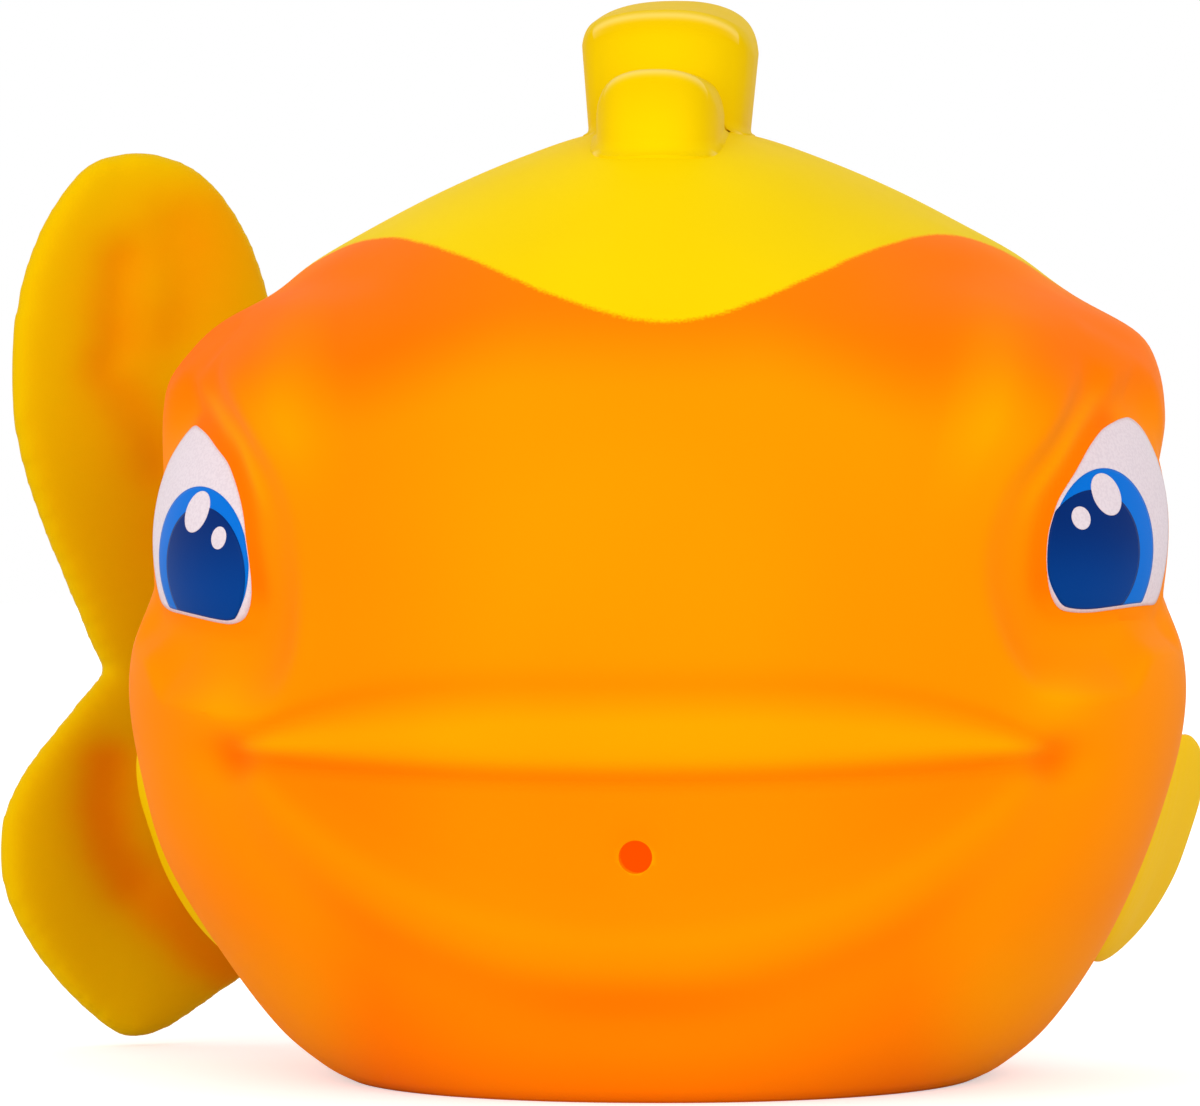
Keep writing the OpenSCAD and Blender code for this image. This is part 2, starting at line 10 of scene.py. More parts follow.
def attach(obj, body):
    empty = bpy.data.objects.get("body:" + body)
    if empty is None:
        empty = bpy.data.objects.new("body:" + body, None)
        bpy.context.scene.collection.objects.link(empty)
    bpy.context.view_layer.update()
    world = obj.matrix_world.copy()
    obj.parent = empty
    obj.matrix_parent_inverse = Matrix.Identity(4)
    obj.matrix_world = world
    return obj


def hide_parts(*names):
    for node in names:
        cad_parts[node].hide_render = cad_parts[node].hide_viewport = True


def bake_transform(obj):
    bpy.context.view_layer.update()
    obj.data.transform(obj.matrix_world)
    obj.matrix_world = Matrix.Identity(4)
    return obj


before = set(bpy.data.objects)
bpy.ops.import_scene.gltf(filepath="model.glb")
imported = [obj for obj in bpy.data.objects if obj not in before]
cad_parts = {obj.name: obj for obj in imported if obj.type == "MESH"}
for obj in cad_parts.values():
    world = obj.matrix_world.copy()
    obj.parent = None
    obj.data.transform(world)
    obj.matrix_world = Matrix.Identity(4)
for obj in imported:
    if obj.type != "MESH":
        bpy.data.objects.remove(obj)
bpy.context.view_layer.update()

# Lengths are in millimetres until a piece is finished, and then turn into metres
MM = 0.001

# Body, as moulded: the nose points to -Y and the fish's left side to +X
HALF_WIDTH = 36
HEIGHT = 66.2
NOSE_LENGTH = 26.5
RUMP_LENGTH = 34
WALL = 2.5
FLOOR_WALL = 3.2
CROWN_WALL = 4.2
REAR_POWER = 2.1
# Rows from the base to the crown: shares of height, half width, depth in front of the widest line and
# behind it, and how far back that line lies
OUTLINE = [
    (0, 0.605, 1.019, 0.559, 0.206), (0.014, 0.655, 1.049, 0.603, 0.200),
    (0.05, 0.734, 1.072, 0.659, 0.182), (0.109, 0.814, 1.068, 0.741, 0.147),
    (0.183, 0.887, 1.045, 0.835, 0.094), (0.275, 0.953, 0.996, 0.935, 0.035),
    (0.367, 0.997, 0.985, 0.985, 0.009), (0.443, 0.997, 0.996, 1, 0),
    (0.52, 0.950, 1.011, 0.979, 0.009), (0.607, 0.943, 1.053, 0.882, 0.059),
    (0.692, 0.964, 1.110, 0.735, 0.153), (0.76, 0.930, 1.143, 0.600, 0.265),
    (0.816, 0.795, 1.132, 0.465, 0.365), (0.87, 0.647, 1.075, 0.348, 0.444),
    (0.923, 0.475, 0.974, 0.238, 0.506), (0.964, 0.306, 0.823, 0.147, 0.541),
    (0.991, 0.156, 0.543, 0.072, 0.556), (1, 0, 0, 0, 0.56)]
CROWN_Y = OUTLINE[-1][4] * RUMP_LENGTH

# Face
SQUIRT_Z = 16.4
SQUIRT_RADIUS = 1.1
SQUIRT_CUT = 20
MOUTH_Z = 21.2
CORNER_Z = 22.6
LIP_HEIGHT = 5.1
CORNER_LIP_HEIGHT = 0.9
CORNER_X = 27.4
JAW_Z = 10.3
BROW_X = 20.2
BROW_Z = 46.6
CHEEK_Z = 26.8
LIP_RISE = 0.9
SNOUT_Z = 36
# Short grooves outside the brows, as lines through (x, z)
LEFT_GROOVE = [(29.4, 51.9), (33, 50)]
RIGHT_GROOVE = [(-31, 47.6), (-28.2, 51.4)]

# Eyes. The two are printed a little differently: 1 is the fish's left eye, -1 its right one
EYE_Z = 38.6
EYE_AROUND = radians(-27.5)
EYE_TURN = radians(52)
EYE_LIFT = radians(4)
EYEBALL_RADIUS = 17
# How far round an eye the skin is shaped, and its lid given painted shade and highlight: across, up and
# behind
EYE_FIELD = (15, 13, 9)
LID_FIELD = (12, 11, 6)
# Middles of the eyeballs, across and up from the middle of the eye, and how far each stands out
EYEBALLS = {1: (0.5, -0.2, 0.52), -1: (-0.8, -1.2, 0.45)}
# Edges of the whites, as points round them, outwards and up
WHITE_EDGES = {
    1: [(5.0, 6.8), (6.5, 6.2), (7.5, 4.9), (8.1, 3.2), (8.2, 1.5), (8.0, -0.5), (7.7, -2.4), (7.3, -4.0),
        (7.0, -5.1), (6.4, -5.75), (4.9, -5.85), (3.0, -5.95), (1.0, -6.1), (-1.8, -6.3), (-3.6, -6.2),
        (-4.5, -5.85), (-5.2, -4.95), (-5.6, -3.8), (-5.8, -2.5), (-5.7, -1.05), (-5.3, 0.15),
        (-4.8, 1.15), (-4.05, 2.05), (-3.2, 2.9), (-2.3, 3.8), (-1.1, 4.85), (0.6, 5.9), (2.5, 6.5),
        (3.8, 6.75)],
    -1: [(2.5, 6.3), (1.2, 6.1), (-0.5, 5.55), (-2.1, 4.75), (-3.8, 3.75), (-4.9, 2.65), (-5.8, 1.35),
         (-6.4, 0.0), (-6.7, -1.3), (-6.95, -2.6), (-7.05, -3.9), (-6.95, -5.0), (-6.6, -5.95),
         (-5.95, -6.7), (-4.9, -7.05), (-3.6, -7.0), (-1.6, -6.75), (0.55, -6.5), (2.6, -6.25),
         (4.2, -5.7), (4.8, -4.6), (5.2, -3.3), (5.6, -1.95), (5.95, -0.55), (6.1, 1.0), (6.0, 2.5),
         (5.5, 3.8), (4.5, 4.9), (3.5, 5.8)]}
WHITE_MIDDLES = {1: (1.0, 0.0), -1: (-0.6, -0.4)}
# Discs: middle, half width, half height and lean
IRISES = {1: [(-0.5, -2.6, 5.25, 5.85, 0)], -1: [(-1.7, -2.95, 5.3, 5.0, 0)]}
PUPILS = {1: [(-1.85, -2.7, 4.6, 4.5, 0)], -1: [(-2.35, -3.55, 4.35, 4.25, 0)]}
GLINTS = {
    1: [(-0.7, 1.48, 1.38, 1.42, -0.17), (-3.24, -0.08, 0.77, 0.77, -0.1)],
    -1: [(-1.95, 0.33, 1.3, 1.4, -0.21), (-4.5, -1.4, 0.68, 0.76, -0.1)]}

# Neck of the tail, where the tail's joint is
NECK_X = -4
NECK_Y = 42
NECK_Z = 31
TAIL_REACH = 45
TAIL_HEIGHT = 65.3
TAIL_CURL = 17


def clamp(u, low=0.0, high=1.0):
    return max(low, min(high, u))


def ease(u):
    u = clamp(u)
    return u * u * (3 - 2 * u)


def mix(a, b, share):
    return a + (b - a) * share


def bell(d):
    return exp(-d * d)


def powered(v, power):
    return (1 if v > 0 else -1) * abs(v) ** (2 / power)


def curve_at(rows, t):
    """A smooth curve through the rows, at t counted in rows."""
    i = min(int(t), len(rows) - 2)
    u = t - i
    a, b = rows[max(i - 1, 0)], rows[i]
    c, d = rows[i + 1], rows[min(i + 2, len(rows) - 1)]
    return tuple(
        q + (r - p) * u / 2 + (2 * p - 5 * q + 4 * r - s) * u * u / 2 + (3 * q - p - 3 * r + s) * u ** 3 / 2
        for p, q, r, s in zip(a, b, c, d))


def shared_out(lengths, count):
    """Places that divide a row of lengths into count equal parts, counted in lengths."""
    step = sum(lengths) / count
    places = [0.0]
    gone = 0.0
    for i, length in enumerate(lengths):
        while len(places) < count and gone + length >= step * len(places):
            places.append(i + (step * len(places) - gone) / length)
        gone += length
    return places


def stroke(x, z, points, width):
    """How near (x, z) is to a line through points: 1 on the line, falling off over width."""
    best = 1e9
    for (ax, az), (bx, bz) in zip(points, points[1:]):
        dx, dz = bx - ax, bz - az
        u = clamp(((x - ax) * dx + (z - az) * dz) / (dx * dx + dz * dz))
        best = min(best, hypot(x - ax - u * dx, z - az - u * dz))
    return bell(best / width)


def wrapped_ball(columns, rings, place, top, bottom):
    """A closed ball whose rings, counted from the top, are moved to where place says."""
    bm = bmesh.new()
    bmesh.ops.create_uvsphere(bm, u_segments=columns, v_segments=rings + 1, radius=1)
    for vert in bm.verts:
        ring = round(acos(clamp(vert.co.z, -1, 1)) / pi * (rings + 1))
        column = round((atan2(vert.co.y, vert.co.x) / (2 * pi) + 0.5) * columns) % columns
        if ring == 0:
            vert.co = top
        elif ring == rings + 1:
            vert.co = bottom
        else:
            vert.co = place(ring - 1, column)
    return bm


def loose_object(bm, name="working"):
    mesh = bpy.data.meshes.new(name)
    bm.to_mesh(mesh)
    bm.free()
    made = bpy.data.objects.new(name, mesh)
    bpy.context.scene.collection.objects.link(made)
    return made


def taken_back(made):
    """The object's mesh with its modifiers applied, as a bmesh. The object is removed."""
    bpy.context.view_layer.update()
    seen = made.evaluated_get(bpy.context.evaluated_depsgraph_get())
    bm = bmesh.new()
    bm.from_mesh(seen.to_mesh())
    seen.to_mesh_clear()
    mesh = made.data
    bpy.data.objects.remove(made)
    bpy.data.meshes.remove(mesh)
    return bm


def joined(bm, other, operation):
    """Two closed meshes, united or one cut out of the other."""
    first = loose_object(bm)
    second = loose_object(other)
    boolean = first.modifiers.new("join", "BOOLEAN")
    boolean.object = second
    boolean.operation = operation
    boolean.solver = "EXACT"
    result = taken_back(first)
    mesh = second.data
    bpy.data.objects.remove(second)
    bpy.data.meshes.remove(mesh)
    return result


def remoulded(bms, grain, smoothings, swell):
    """One soft solid out of several that overlap, rebuilt at a grain, smoothed where they meet and then
    swollen by what the smoothing took away."""
    together = bmesh.new()
    for bm in bms:
        mesh = bpy.data.meshes.new("part")
        bm.to_mesh(mesh)
        bm.free()
        together.from_mesh(mesh)
        bpy.data.meshes.remove(mesh)
    made = loose_object(together)
    remesh = made.modifiers.new("remould", "REMESH")
    remesh.mode = "VOXEL"
    remesh.voxel_size = grain
    result = taken_back(made)
    for _ in range(smoothings):
        bmesh.ops.smooth_vert(
            result, verts=result.verts, factor=0.5, use_axis_x=True, use_axis_y=True, use_axis_z=True)
    result.normal_update()
    for vert in result.verts:
        vert.co += vert.normal * swell
    return result


def flare_to_skin(bm, skin, side_radius, front_radius=None):
    """Spreads a root outwards where it meets the skin, as the fillet in the mould does."""
    bm.normal_update()
    moves = []
    for vert in bm.verts:
        radius = mix(side_radius, front_radius or side_radius, ease(-1.5 * vert.normal.y))
        near, normal, _, _ = skin.find_nearest(vert.co)
        height = (vert.co - near).dot(normal)
        if height < radius:
            h = max(height, 0)
            spread = radius - sqrt(max(radius * radius - (radius - h) ** 2, 0))
            side = vert.normal - normal * vert.normal.dot(normal)
            if side.length > 0.2:
                moves.append((vert, side.normalized() * spread))
    for vert, move in moves:
        vert.co += move


def finished(name, bm, slot, sharp=40):
    """Turns a bmesh in millimetres into a smooth piece in metres."""
    bmesh.ops.scale(bm, vec=(MM, MM, MM), verts=bm.verts)
    for face in bm.faces:
        face.smooth = True
    for edge in bm.edges:
        edge.smooth = edge.calc_face_angle(0) < radians(sharp)
    piece = loose_object(bm, name)
    return piece


def mark(piece, name, measure):
    """Writes what measure gives at each point, in millimetres, to an attribute for the paint."""
    attribute = piece.data.attributes.new(name, "FLOAT", "POINT")
    for i, vert in enumerate(piece.data.vertices):
        attribute.data[i].value = measure(vert.co / MM, vert.normal)


# The skin of the face

def mouth_line(x):
    return mix(MOUTH_Z, CORNER_Z, (abs(x) / CORNER_X) ** 2)


def jaw_line(x):
    return mix(JAW_Z, CORNER_Z, (abs(x) / CORNER_X) ** 2.3)


def mouth_share(ax):
    """1 over the mouth and 0 beyond its corners."""
    return 1 - ease((ax / CORNER_X - 0.86) / 0.18)


def lip_share(x, z):
    """0 at the mouth line and 1 at the crease over the upper lip, which meet near the corners."""
    height = CORNER_LIP_HEIGHT + LIP_HEIGHT * (1 - min(abs(x) / CORNER_X, 1) ** 3.2)
    return (z - mouth_line(x)) / height


def face_rise(x, z):
    """How far the skin of the face stands out, at x to the fish's left and a height z."""
    ax = abs(x)
    in_mouth = mouth_share(ax)
    over_mouth = z - mouth_line(x)
    over_jaw = z - jaw_line(x)
    # Snout, then brow and the groove outside it
    rise = 0.9 * bell(x / 17) * bell((z - SNOUT_Z) / 9.5)
    brow = ease((ax - BROW_X - 0.25 * (z - BROW_Z)) / 3.4) * (1 - 0.7 * ease((ax - BROW_X - 5) / 5))
    rise += 1.9 * brow * bell((z - BROW_Z) / 5.2)
    rise -= 0.45 * stroke(x, z, RIGHT_GROOVE if x < 0 else LEFT_GROOVE, 0.7)
    # Cheek
    rise += 0.7 * bell((ax - CORNER_X - 1) / 5) * bell((z - CHEEK_Z - 0.6) / 4.6)
    # Upper lip, with the crease over it and the mouth line under it, and the corners of the mouth
    over_lip = lip_share(x, z)
    rise += LIP_RISE * in_mouth * ease((over_mouth + 0.5) / 2.0) * (1 - ease((over_lip - 0.3) / 0.75))
    rise -= 0.2 * in_mouth * bell((over_lip - 1) / 0.2) + 0.26 * in_mouth * bell(over_mouth / 0.6)
    rise -= 1.1 * bell((ax - CORNER_X) / 2.0) * bell((z - CORNER_Z) / 1.5)
    # Lower lip, the dip under it and the dish round the squirt hole
    rise += 0.6 * in_mouth * (ease(over_jaw / 5 + 1) if over_jaw < 0 else 1 - ease(over_jaw / 4))
    rise -= 0.4 * bell(x / 17) * bell((over_jaw + 4.4) / 2.4)
    rise -= 0.4 * bell(hypot(x, z - SQUIRT_Z) / 1.6)
    return rise


def rump_rise(x, z):
    return 7 * bell((x + 3) / 8) * bell((z - NECK_Z) / 11)


def slice_point(row, turn, inset=0.0):
    """A point on the plain slice of the body, where a turn of -90 degrees is the nose."""
    height, wide, nose, rump, middle = row
    power = 2.1 + 0.4 * ease(height / 0.27) * (1 - ease((height - 0.72) / 0.2)) if turn < 0 else REAR_POWER
    deep = nose * (NOSE_LENGTH - inset) if turn < 0 else rump * (RUMP_LENGTH - inset)
    return Vector((
        wide * (HALF_WIDTH - inset) * powered(cos(turn), power),
        middle * RUMP_LENGTH + deep * powered(sin(turn), power), height * HEIGHT))


def row_of_height(z):
    for i, (low, high) in enumerate(zip(OUTLINE, OUTLINE[1:])):
        if z < high[0] * HEIGHT:
            return i + (z / HEIGHT - low[0]) / (high[0] - low[0])
    return len(OUTLINE) - 1


def eye_place(side):
    """The frame of an eye: X to its outer side, Y up and Z out of the eye."""
    spot = slice_point(curve_at(OUTLINE, row_of_height(EYE_Z)), EYE_AROUND)
    return (
        Matrix.Diagonal((side, 1, 1, 1)) @ Matrix.Translation(spot)
        @ Matrix.Rotation(EYE_TURN, 4, "Z") @ Matrix.Rotation(pi / 2 - EYE_LIFT, 4, "X"))


eye_places = {side: eye_place(side) for side in (-1, 1)}
eye_returns = {side: place.inverted() for side, place in eye_places.items()}


def smooth_at(rows, t):
    """A curve that runs smoothly by the rows rather than through them, at t counted in rows."""
    i = min(int(t), len(rows) - 2)
    u = t - i
    a, b = rows[max(i - 1, 0)], rows[i]
    c, d = rows[i + 1], rows[min(i + 2, len(rows) - 1)]
    before, here = (1 - u) ** 3, 3 * u ** 3 - 6 * u * u + 4
    after, beyond = 1 + 3 * u + 3 * u * u - 3 * u ** 3, u ** 3
    return tuple(
        (before * p + here * q + after * r + beyond * s) / 6 for p, q, r, s in zip(a, b, c, d))


def white_radii(side):
    """Directions round the middle of a white, in order, and how far away its edge is in each."""
    middle_u, middle_v = WHITE_MIDDLES[side]
    points = WHITE_EDGES[side]
    ring = points[-1:] + points + points[:2]
    found = []
    for i in range(16 * len(points)):
        u, v = curve_at(ring, 1 + i / 16)
        found.append((atan2(v - middle_v, u - middle_u), hypot(u - middle_u, v - middle_v)))
    found.sort()
    return [(found[-1][0] - 2 * pi, found[-1][1])] + found + [(found[0][0] + 2 * pi, found[0][1])]


white_edges = {side: white_radii(side) for side in (-1, 1)}


def white_reach(side, u, v):
    """How far (u, v) is from the middle of the white of an eye, where 1 is its edge."""
    du, dv = u - WHITE_MIDDLES[side][0], v - WHITE_MIDDLES[side][1]
    around = atan2(dv, du)
    edges = white_edges[side]
    i = min(max(bisect(edges, (around, 0)), 1), len(edges) - 1)
    (start, near), (end, far) = edges[i - 1], edges[i]
    return hypot(du, dv) / mix(near, far, (around - start) / max(end - start, 1e-9))


def eyeball(side, u, v):
    """How far the eyeball stands out at (u, v)."""
    middle_u, middle_v, rise = EYEBALLS[side]
    off = hypot(u - middle_u, v - middle_v)
    return rise - EYEBALL_RADIUS + sqrt(max(EYEBALL_RADIUS ** 2 - off * off, 0))


def domed(point):
    """Draws the skin round an eye on to its eyeball, inside a soft lid with a fine ridge."""
    side = 1 if point.x > 0 else -1
    u, v, w = eye_returns[side] @ point
    if abs(u) > EYE_FIELD[0] or abs(v) > EYE_FIELD[1] or w < -EYE_FIELD[2]:
        return point
    reach = white_reach(side, u, v)
    inner, upper = ease((3 - u) / 4), ease((v + 1) / 4)
    soft = 0.5 + 0.4 * inner
    drawn = mix(w, eyeball(side, u, v), 1 - ease((reach - 1.08) / soft))
    drawn += 0.28 * inner * upper * bell((reach - 1.34) / 0.13) - 0.12 * bell((reach - 1.13) / 0.06)
    return eye_places[side] @ Vector((u, v, drawn))


# Knobs and dips along the body's sides: how far each stands out, its height and its spread
LEFT_SWELLS = [(0.7, 51.6, 1.7), (0.8, 57.4, 1.7), (-0.4, 54.8, 1.3)]
RIGHT_SWELLS = [(-1.2, 54.4, 1.5), (-0.9, 50.5, 2.2), (-0.55, 45.5, 3.4), (0.55, 15.5, 5)]


def shoulder_rise(p):
    """The knobs and dips outside the brows, which show in the outline from the front."""
    swells = LEFT_SWELLS if p.x > 0 else RIGHT_SWELLS
    rise = sum(out * bell((p.z - height) / spread) for out, height, spread in swells)
    return rise * bell((p.y + 3) / 14) * ease((abs(p.x) - 15) / 6)


def skin_point(row, turn):
    p = slice_point(row, turn)
    p.x += shoulder_rise(p) * (1 if p.x > 0 else -1)
    facing = abs(sin(turn))
    if turn >= 0:
        p.y += rump_rise(p.x, p.z) * ease(2 * facing)
        return p
    rise = face_rise(p.x, p.z) * ease(2 * facing)
    return domed(p + rise * Vector((cos(turn), -facing, 0)))


# Number of the row in OUTLINE at which the hollow starts
CAVITY_FOOT = 2


def cavity_point(row, turn):
    p = slice_point(row, turn, WALL)
    low = OUTLINE[CAVITY_FOOT][0]
    p.z = mix(FLOOR_WALL, HEIGHT - CROWN_WALL, (row[0] - low) / (1 - low))
    return p


# Columns lie evenly along the widest slice, and the face has the most of them
FRONT_COLUMNS = 262
REAR_COLUMNS = 90
COLUMNS = FRONT_COLUMNS + REAR_COLUMNS
WIDEST = 6


def even_turns(start, count):
    """Turns over half of the widest slice that lie evenly along its edge."""
    fine = 1500
    edge = [slice_point(OUTLINE[WIDEST], start + pi * (i + 1e-6) / fine) for i in range(fine + 1)]
    lengths = [(b - a).length for a, b in zip(edge, edge[1:])]
    return [start + pi * place / fine for place in shared_out(lengths, count)]


turns = even_turns(-pi, FRONT_COLUMNS) + even_turns(0, REAR_COLUMNS)

# Rows lie evenly down the side, and closer together over the mouth
SKIN_ROWS = 196
ROW_FINE = 60
MOUTH_SPAN = (0.05, 0.46)
MOUTH_CLOSENESS = 1.8
outline_fine = [curve_at(OUTLINE, i / ROW_FINE) for i in range(ROW_FINE * (len(OUTLINE) - 1) + 1)]
row_lengths = [
    hypot((b[0] - a[0]) * HEIGHT, (b[1] - a[1]) * HALF_WIDTH)
    * (MOUTH_CLOSENESS if MOUTH_SPAN[0] < a[0] < MOUTH_SPAN[1] else 1)
    for a, b in zip(outline_fine, outline_fine[1:])]
skin_rows = [curve_at(OUTLINE, place / ROW_FINE) for place in shared_out(row_lengths, SKIN_ROWS)]
skin_rows.reverse()

BASE_ROWS = 7
RECESS_RADIUS = 10.3
RECESS_DEPTH = 1.4
BORE_RADIUS = 7.8
BORE_CHAMFER = 0.3
bore_rows = [
    (RECESS_RADIUS, RECESS_DEPTH), (BORE_RADIUS + BORE_CHAMFER, RECESS_DEPTH),
    (BORE_RADIUS, RECESS_DEPTH + BORE_CHAMFER), (BORE_RADIUS, FLOOR_WALL)]
CAVITY_STEPS = 2
cavity_rows = [
    curve_at(OUTLINE, i / CAVITY_STEPS)
    for i in range(CAVITY_FOOT * CAVITY_STEPS, (len(OUTLINE) - 1) * CAVITY_STEPS)]


def shell_point(ring, column):
    """Rings of the hollow shell: down the outside, across the base, up the bore and up the inside."""
    turn = turns[column]
    if ring < SKIN_ROWS:
        return skin_point(skin_rows[ring], turn)
    ring -= SKIN_ROWS
    around = Vector((cos(turn), sin(turn), 0))
    if ring < BASE_ROWS:
        edge = skin_point(OUTLINE[0], turn)
        return edge.lerp(RECESS_RADIUS * around, (ring + 1) / BASE_ROWS)
    ring -= BASE_ROWS
    if ring < len(bore_rows):
        radius, height = bore_rows[ring]
        return radius * around + Vector((0, 0, height))
    return cavity_point(cavity_rows[ring - len(bore_rows)], turn)


shell_rings = SKIN_ROWS + BASE_ROWS + len(bore_rows) + len(cavity_rows)
shell = wrapped_ball(
    COLUMNS, shell_rings, shell_point, (0, CROWN_Y, HEIGHT), (0, CROWN_Y, HEIGHT - CROWN_WALL))
skin_tree = BVHTree.FromBMesh(shell)

bore = bmesh.new()
bmesh.ops.create_cone(
    bore, cap_ends=True, segments=64, radius1=SQUIRT_RADIUS, radius2=SQUIRT_RADIUS, depth=SQUIRT_CUT,
    matrix=Matrix.Translation((0, -NOSE_LENGTH, SQUIRT_Z)) @ Matrix.Rotation(pi / 2, 4, "X"))
shell = joined(shell, bore, "DIFFERENCE")

# Paint line between the orange front and the yellow back
PAINT_SLOPE = radians(25)
PAINT_FRONT = 38.0
PAINT_SIDE = 53.4
PAINT_WIDTHS = (22.5, 18.2)
PAINT_SHIFT = 2.0
PAINT_BEND = 1.18
# How tightly the line turns where it levels off at the sides
PAINT_CORNER = 16


def over_paint_line(p, normal):
    """Height over the paint line, which dips on the forehead and slopes down to the tail."""
    share = abs(p.x - PAINT_SHIFT) / PAINT_WIDTHS[p.x > PAINT_SHIFT]
    share = -log(exp(-PAINT_CORNER * share) + exp(-PAINT_CORNER)) / PAINT_CORNER
    line = mix(PAINT_FRONT, PAINT_SIDE, (1 + PAINT_BEND) * share * share / (share + PAINT_BEND))
    return sin(PAINT_SLOPE) * p.y + cos(PAINT_SLOPE) * p.z - line


def painted_glow_share(p, normal):
    """How strongly the faces of the hollow and of the squirt bore glow, as painted light: up to 1, and less
    towards the top of the bore, as painted shade.
    """
    in_bore = hypot(p.x, p.z - SQUIRT_Z) < SQUIRT_RADIUS + 0.05 and p.y < 0
    if in_bore:
        return 0.6 - 0.45 * (p.z - SQUIRT_Z - 0.4 * p.x) / SQUIRT_RADIUS
    inwards = normal.dot(Vector((p.x, p.y, p.z - SNOUT_Z))) < 0 and p.z > FLOOR_WALL - 0.1
    return 0.6 if inwards else 0


def painted_shade_and_highlight(p, normal):
    """Painted shade and highlight in the orange: 0 where it is painted lightest, as highlight, and 1 on the
    crown and in hollows, where it is painted darkest, as shade.
    """
    x, z = p.x, p.z
    ax = abs(x)
    in_mouth = mouth_share(ax)
    over_mouth = z - mouth_line(x)
    over_jaw = z - jaw_line(x)
    over_lip = lip_share(x, z)
    # Painted shade on the flanks, more on the fish's right, and on the foot and crown, and painted highlight
    # on the ridges of the brows
    flank = ease((ax - 7) / 13)
    depth = 0.28 + (0.22 if x < 0 else 0.08) * flank
    depth += 0.14 * bell(x / 15) * ease((7 - z) / 3)
    depth += 0.55 * ease((z - 46.5 + 3.5 * flank) / 7)
    ridge = 0.36 if x < 0 else 0.42
    depth -= ridge * bell((ax - 23.4) / 2.6) * bell((z - 46.5) / 6)
    # Painted highlight on the upper lip, and painted shade in the crease over it, on the mouth line, at the
    # corners and down to the lower lip
    depth += 0.16 * in_mouth * bell((over_lip - 1.02) / 0.22)
    depth -= 0.36 * in_mouth * bell((over_lip - 0.5) / 0.33)
    depth += 0.3 * in_mouth * bell((over_mouth + 0.1) / 0.7)
    depth += 0.45 * bell(hypot(ax - CORNER_X + 0.3, z - CORNER_Z) / 1.4)
    depth += 0.22 * in_mouth * ease(-over_mouth / 1.5) * ease(over_jaw / 2.5)
    # Painted shade under the jaw and in the dip under the lower lip, and painted highlight low on the flanks
    # and on the cheeks
    depth += 0.26 * ease((-0.8 - over_jaw) / 2.6) * (1 - ease((ax - 17) / 7))
    depth += 0.24 * bell(x / 11) * bell((z - 6.6) / 1.6)
    depth -= 0.3 * ease((14 - z) / 8) * ease((ax - 16) / 8)
    depth -= 0.35 * bell((ax - 27.6) / 2.4) * bell((z - 26.6) / 2.0)
    # Lids: painted shade in the socket and painted highlight on the ridge
    side = 1 if x > 0 else -1
    u, v, w = eye_returns[side] @ p
    if abs(u) < LID_FIELD[0] and abs(v) < LID_FIELD[1] and w > -LID_FIELD[2]:
        reach = white_reach(side, u, v)
        depth += 0.5 * bell((reach - 1.05) / 0.16) * ease((4 - u) / 3) * ease((v + 7) / 3)
        depth -= 0.25 * bell((reach - 1.36) / 0.09) * ease((3 - u) / 4) * ease((v + 1) / 4)
    return clamp(mix(depth, 0.45, ease((p.y + 4) / 16)))


body_skin = finished("body_skin", shell, "orange_vinyl")
mark(body_skin, "over_line", over_paint_line)
# The depth attribute holds the orange's painted shade and highlight
mark(body_skin, "depth", painted_shade_and_highlight)
# The inside attribute holds a painted glow, less at the top of the bore as painted shade
mark(body_skin, "inside", painted_glow_share)
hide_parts("body_shell", "back_shell")
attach(body_skin, "body")


# Printed eyes: a white, a blue iris, a dark pupil and two glints, each a thin layer on the skin
PRINT_STEPS = 44
PRINT_THICKNESS = 0.25
# How far the face of each layer lies over the skin
PRINT_LIFTS = {"white": 0.06, "iris": 0.09, "pupil": 0.12, "glints": 0.15}
# A disc wide enough to fill the white to its edge
WHITE_REACH = 12


def print_layer(name, side, kind, slot, discs):
    """A thin layer on the skin, of one or more discs. All but the glints end at the edge of the white."""
    lift = PRINT_LIFTS[kind]
    place = eye_places[side]
    bm = bmesh.new()
    for middle_u, middle_v, half_wide, half_high, lean in discs:
        grid = bmesh.ops.create_grid(bm, x_segments=PRINT_STEPS, y_segments=PRINT_STEPS, size=1)["verts"]
        for vert in grid:
            a, b = vert.co.x, vert.co.y
            reach = max(abs(a), abs(b))
            around = 0.0
            if reach > 0:
                around = pi / 4 * b / a if abs(a) >= abs(b) else pi / 2 - pi / 4 * a / b
                if (a < 0 and abs(a) >= abs(b)) or (b < 0 and abs(b) > abs(a)):
                    around += pi
            rim_v = half_high * sin(around)
            rim_u = half_wide * cos(around) + lean * rim_v
            if kind != "glints":
                kept = clip_to_white(side, middle_u, middle_v, rim_u, rim_v, kind != "white")
                rim_u, rim_v = rim_u * kept, rim_v * kept
            u, v = middle_u + reach * rim_u, middle_v + reach * rim_v
            vert.co = place @ Vector((u, v, eyeball(side, u, v) + lift))
    if side < 0:
        bmesh.ops.reverse_faces(bm, faces=bm.faces)
    layer = finished(name, bm, slot)
    thick = layer.modifiers.new("print", "SOLIDIFY")
    thick.thickness = PRINT_THICKNESS * MM
    thick.offset = -1
    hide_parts(name)
    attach(layer, "body")
    return layer


def clip_to_white(side, middle_u, middle_v, rim_u, rim_v, short):
    """How much of the way from a disc's middle to its rim lies on the white, less a thin line at its foot
    if the disc is to end short of the edge."""
    low, high = 0.0, 1.0
    for _ in range(20):
        share = (low + high) / 2
        u, v = middle_u + share * rim_u, middle_v + share * rim_v
        margin = 0.035 * ease((-3.5 - v) / 2) if short else 0
        if white_reach(side, u, v) < 1 - margin:
            low = share
        else:
            high = share
    return 1 if low > 0.9999 else low


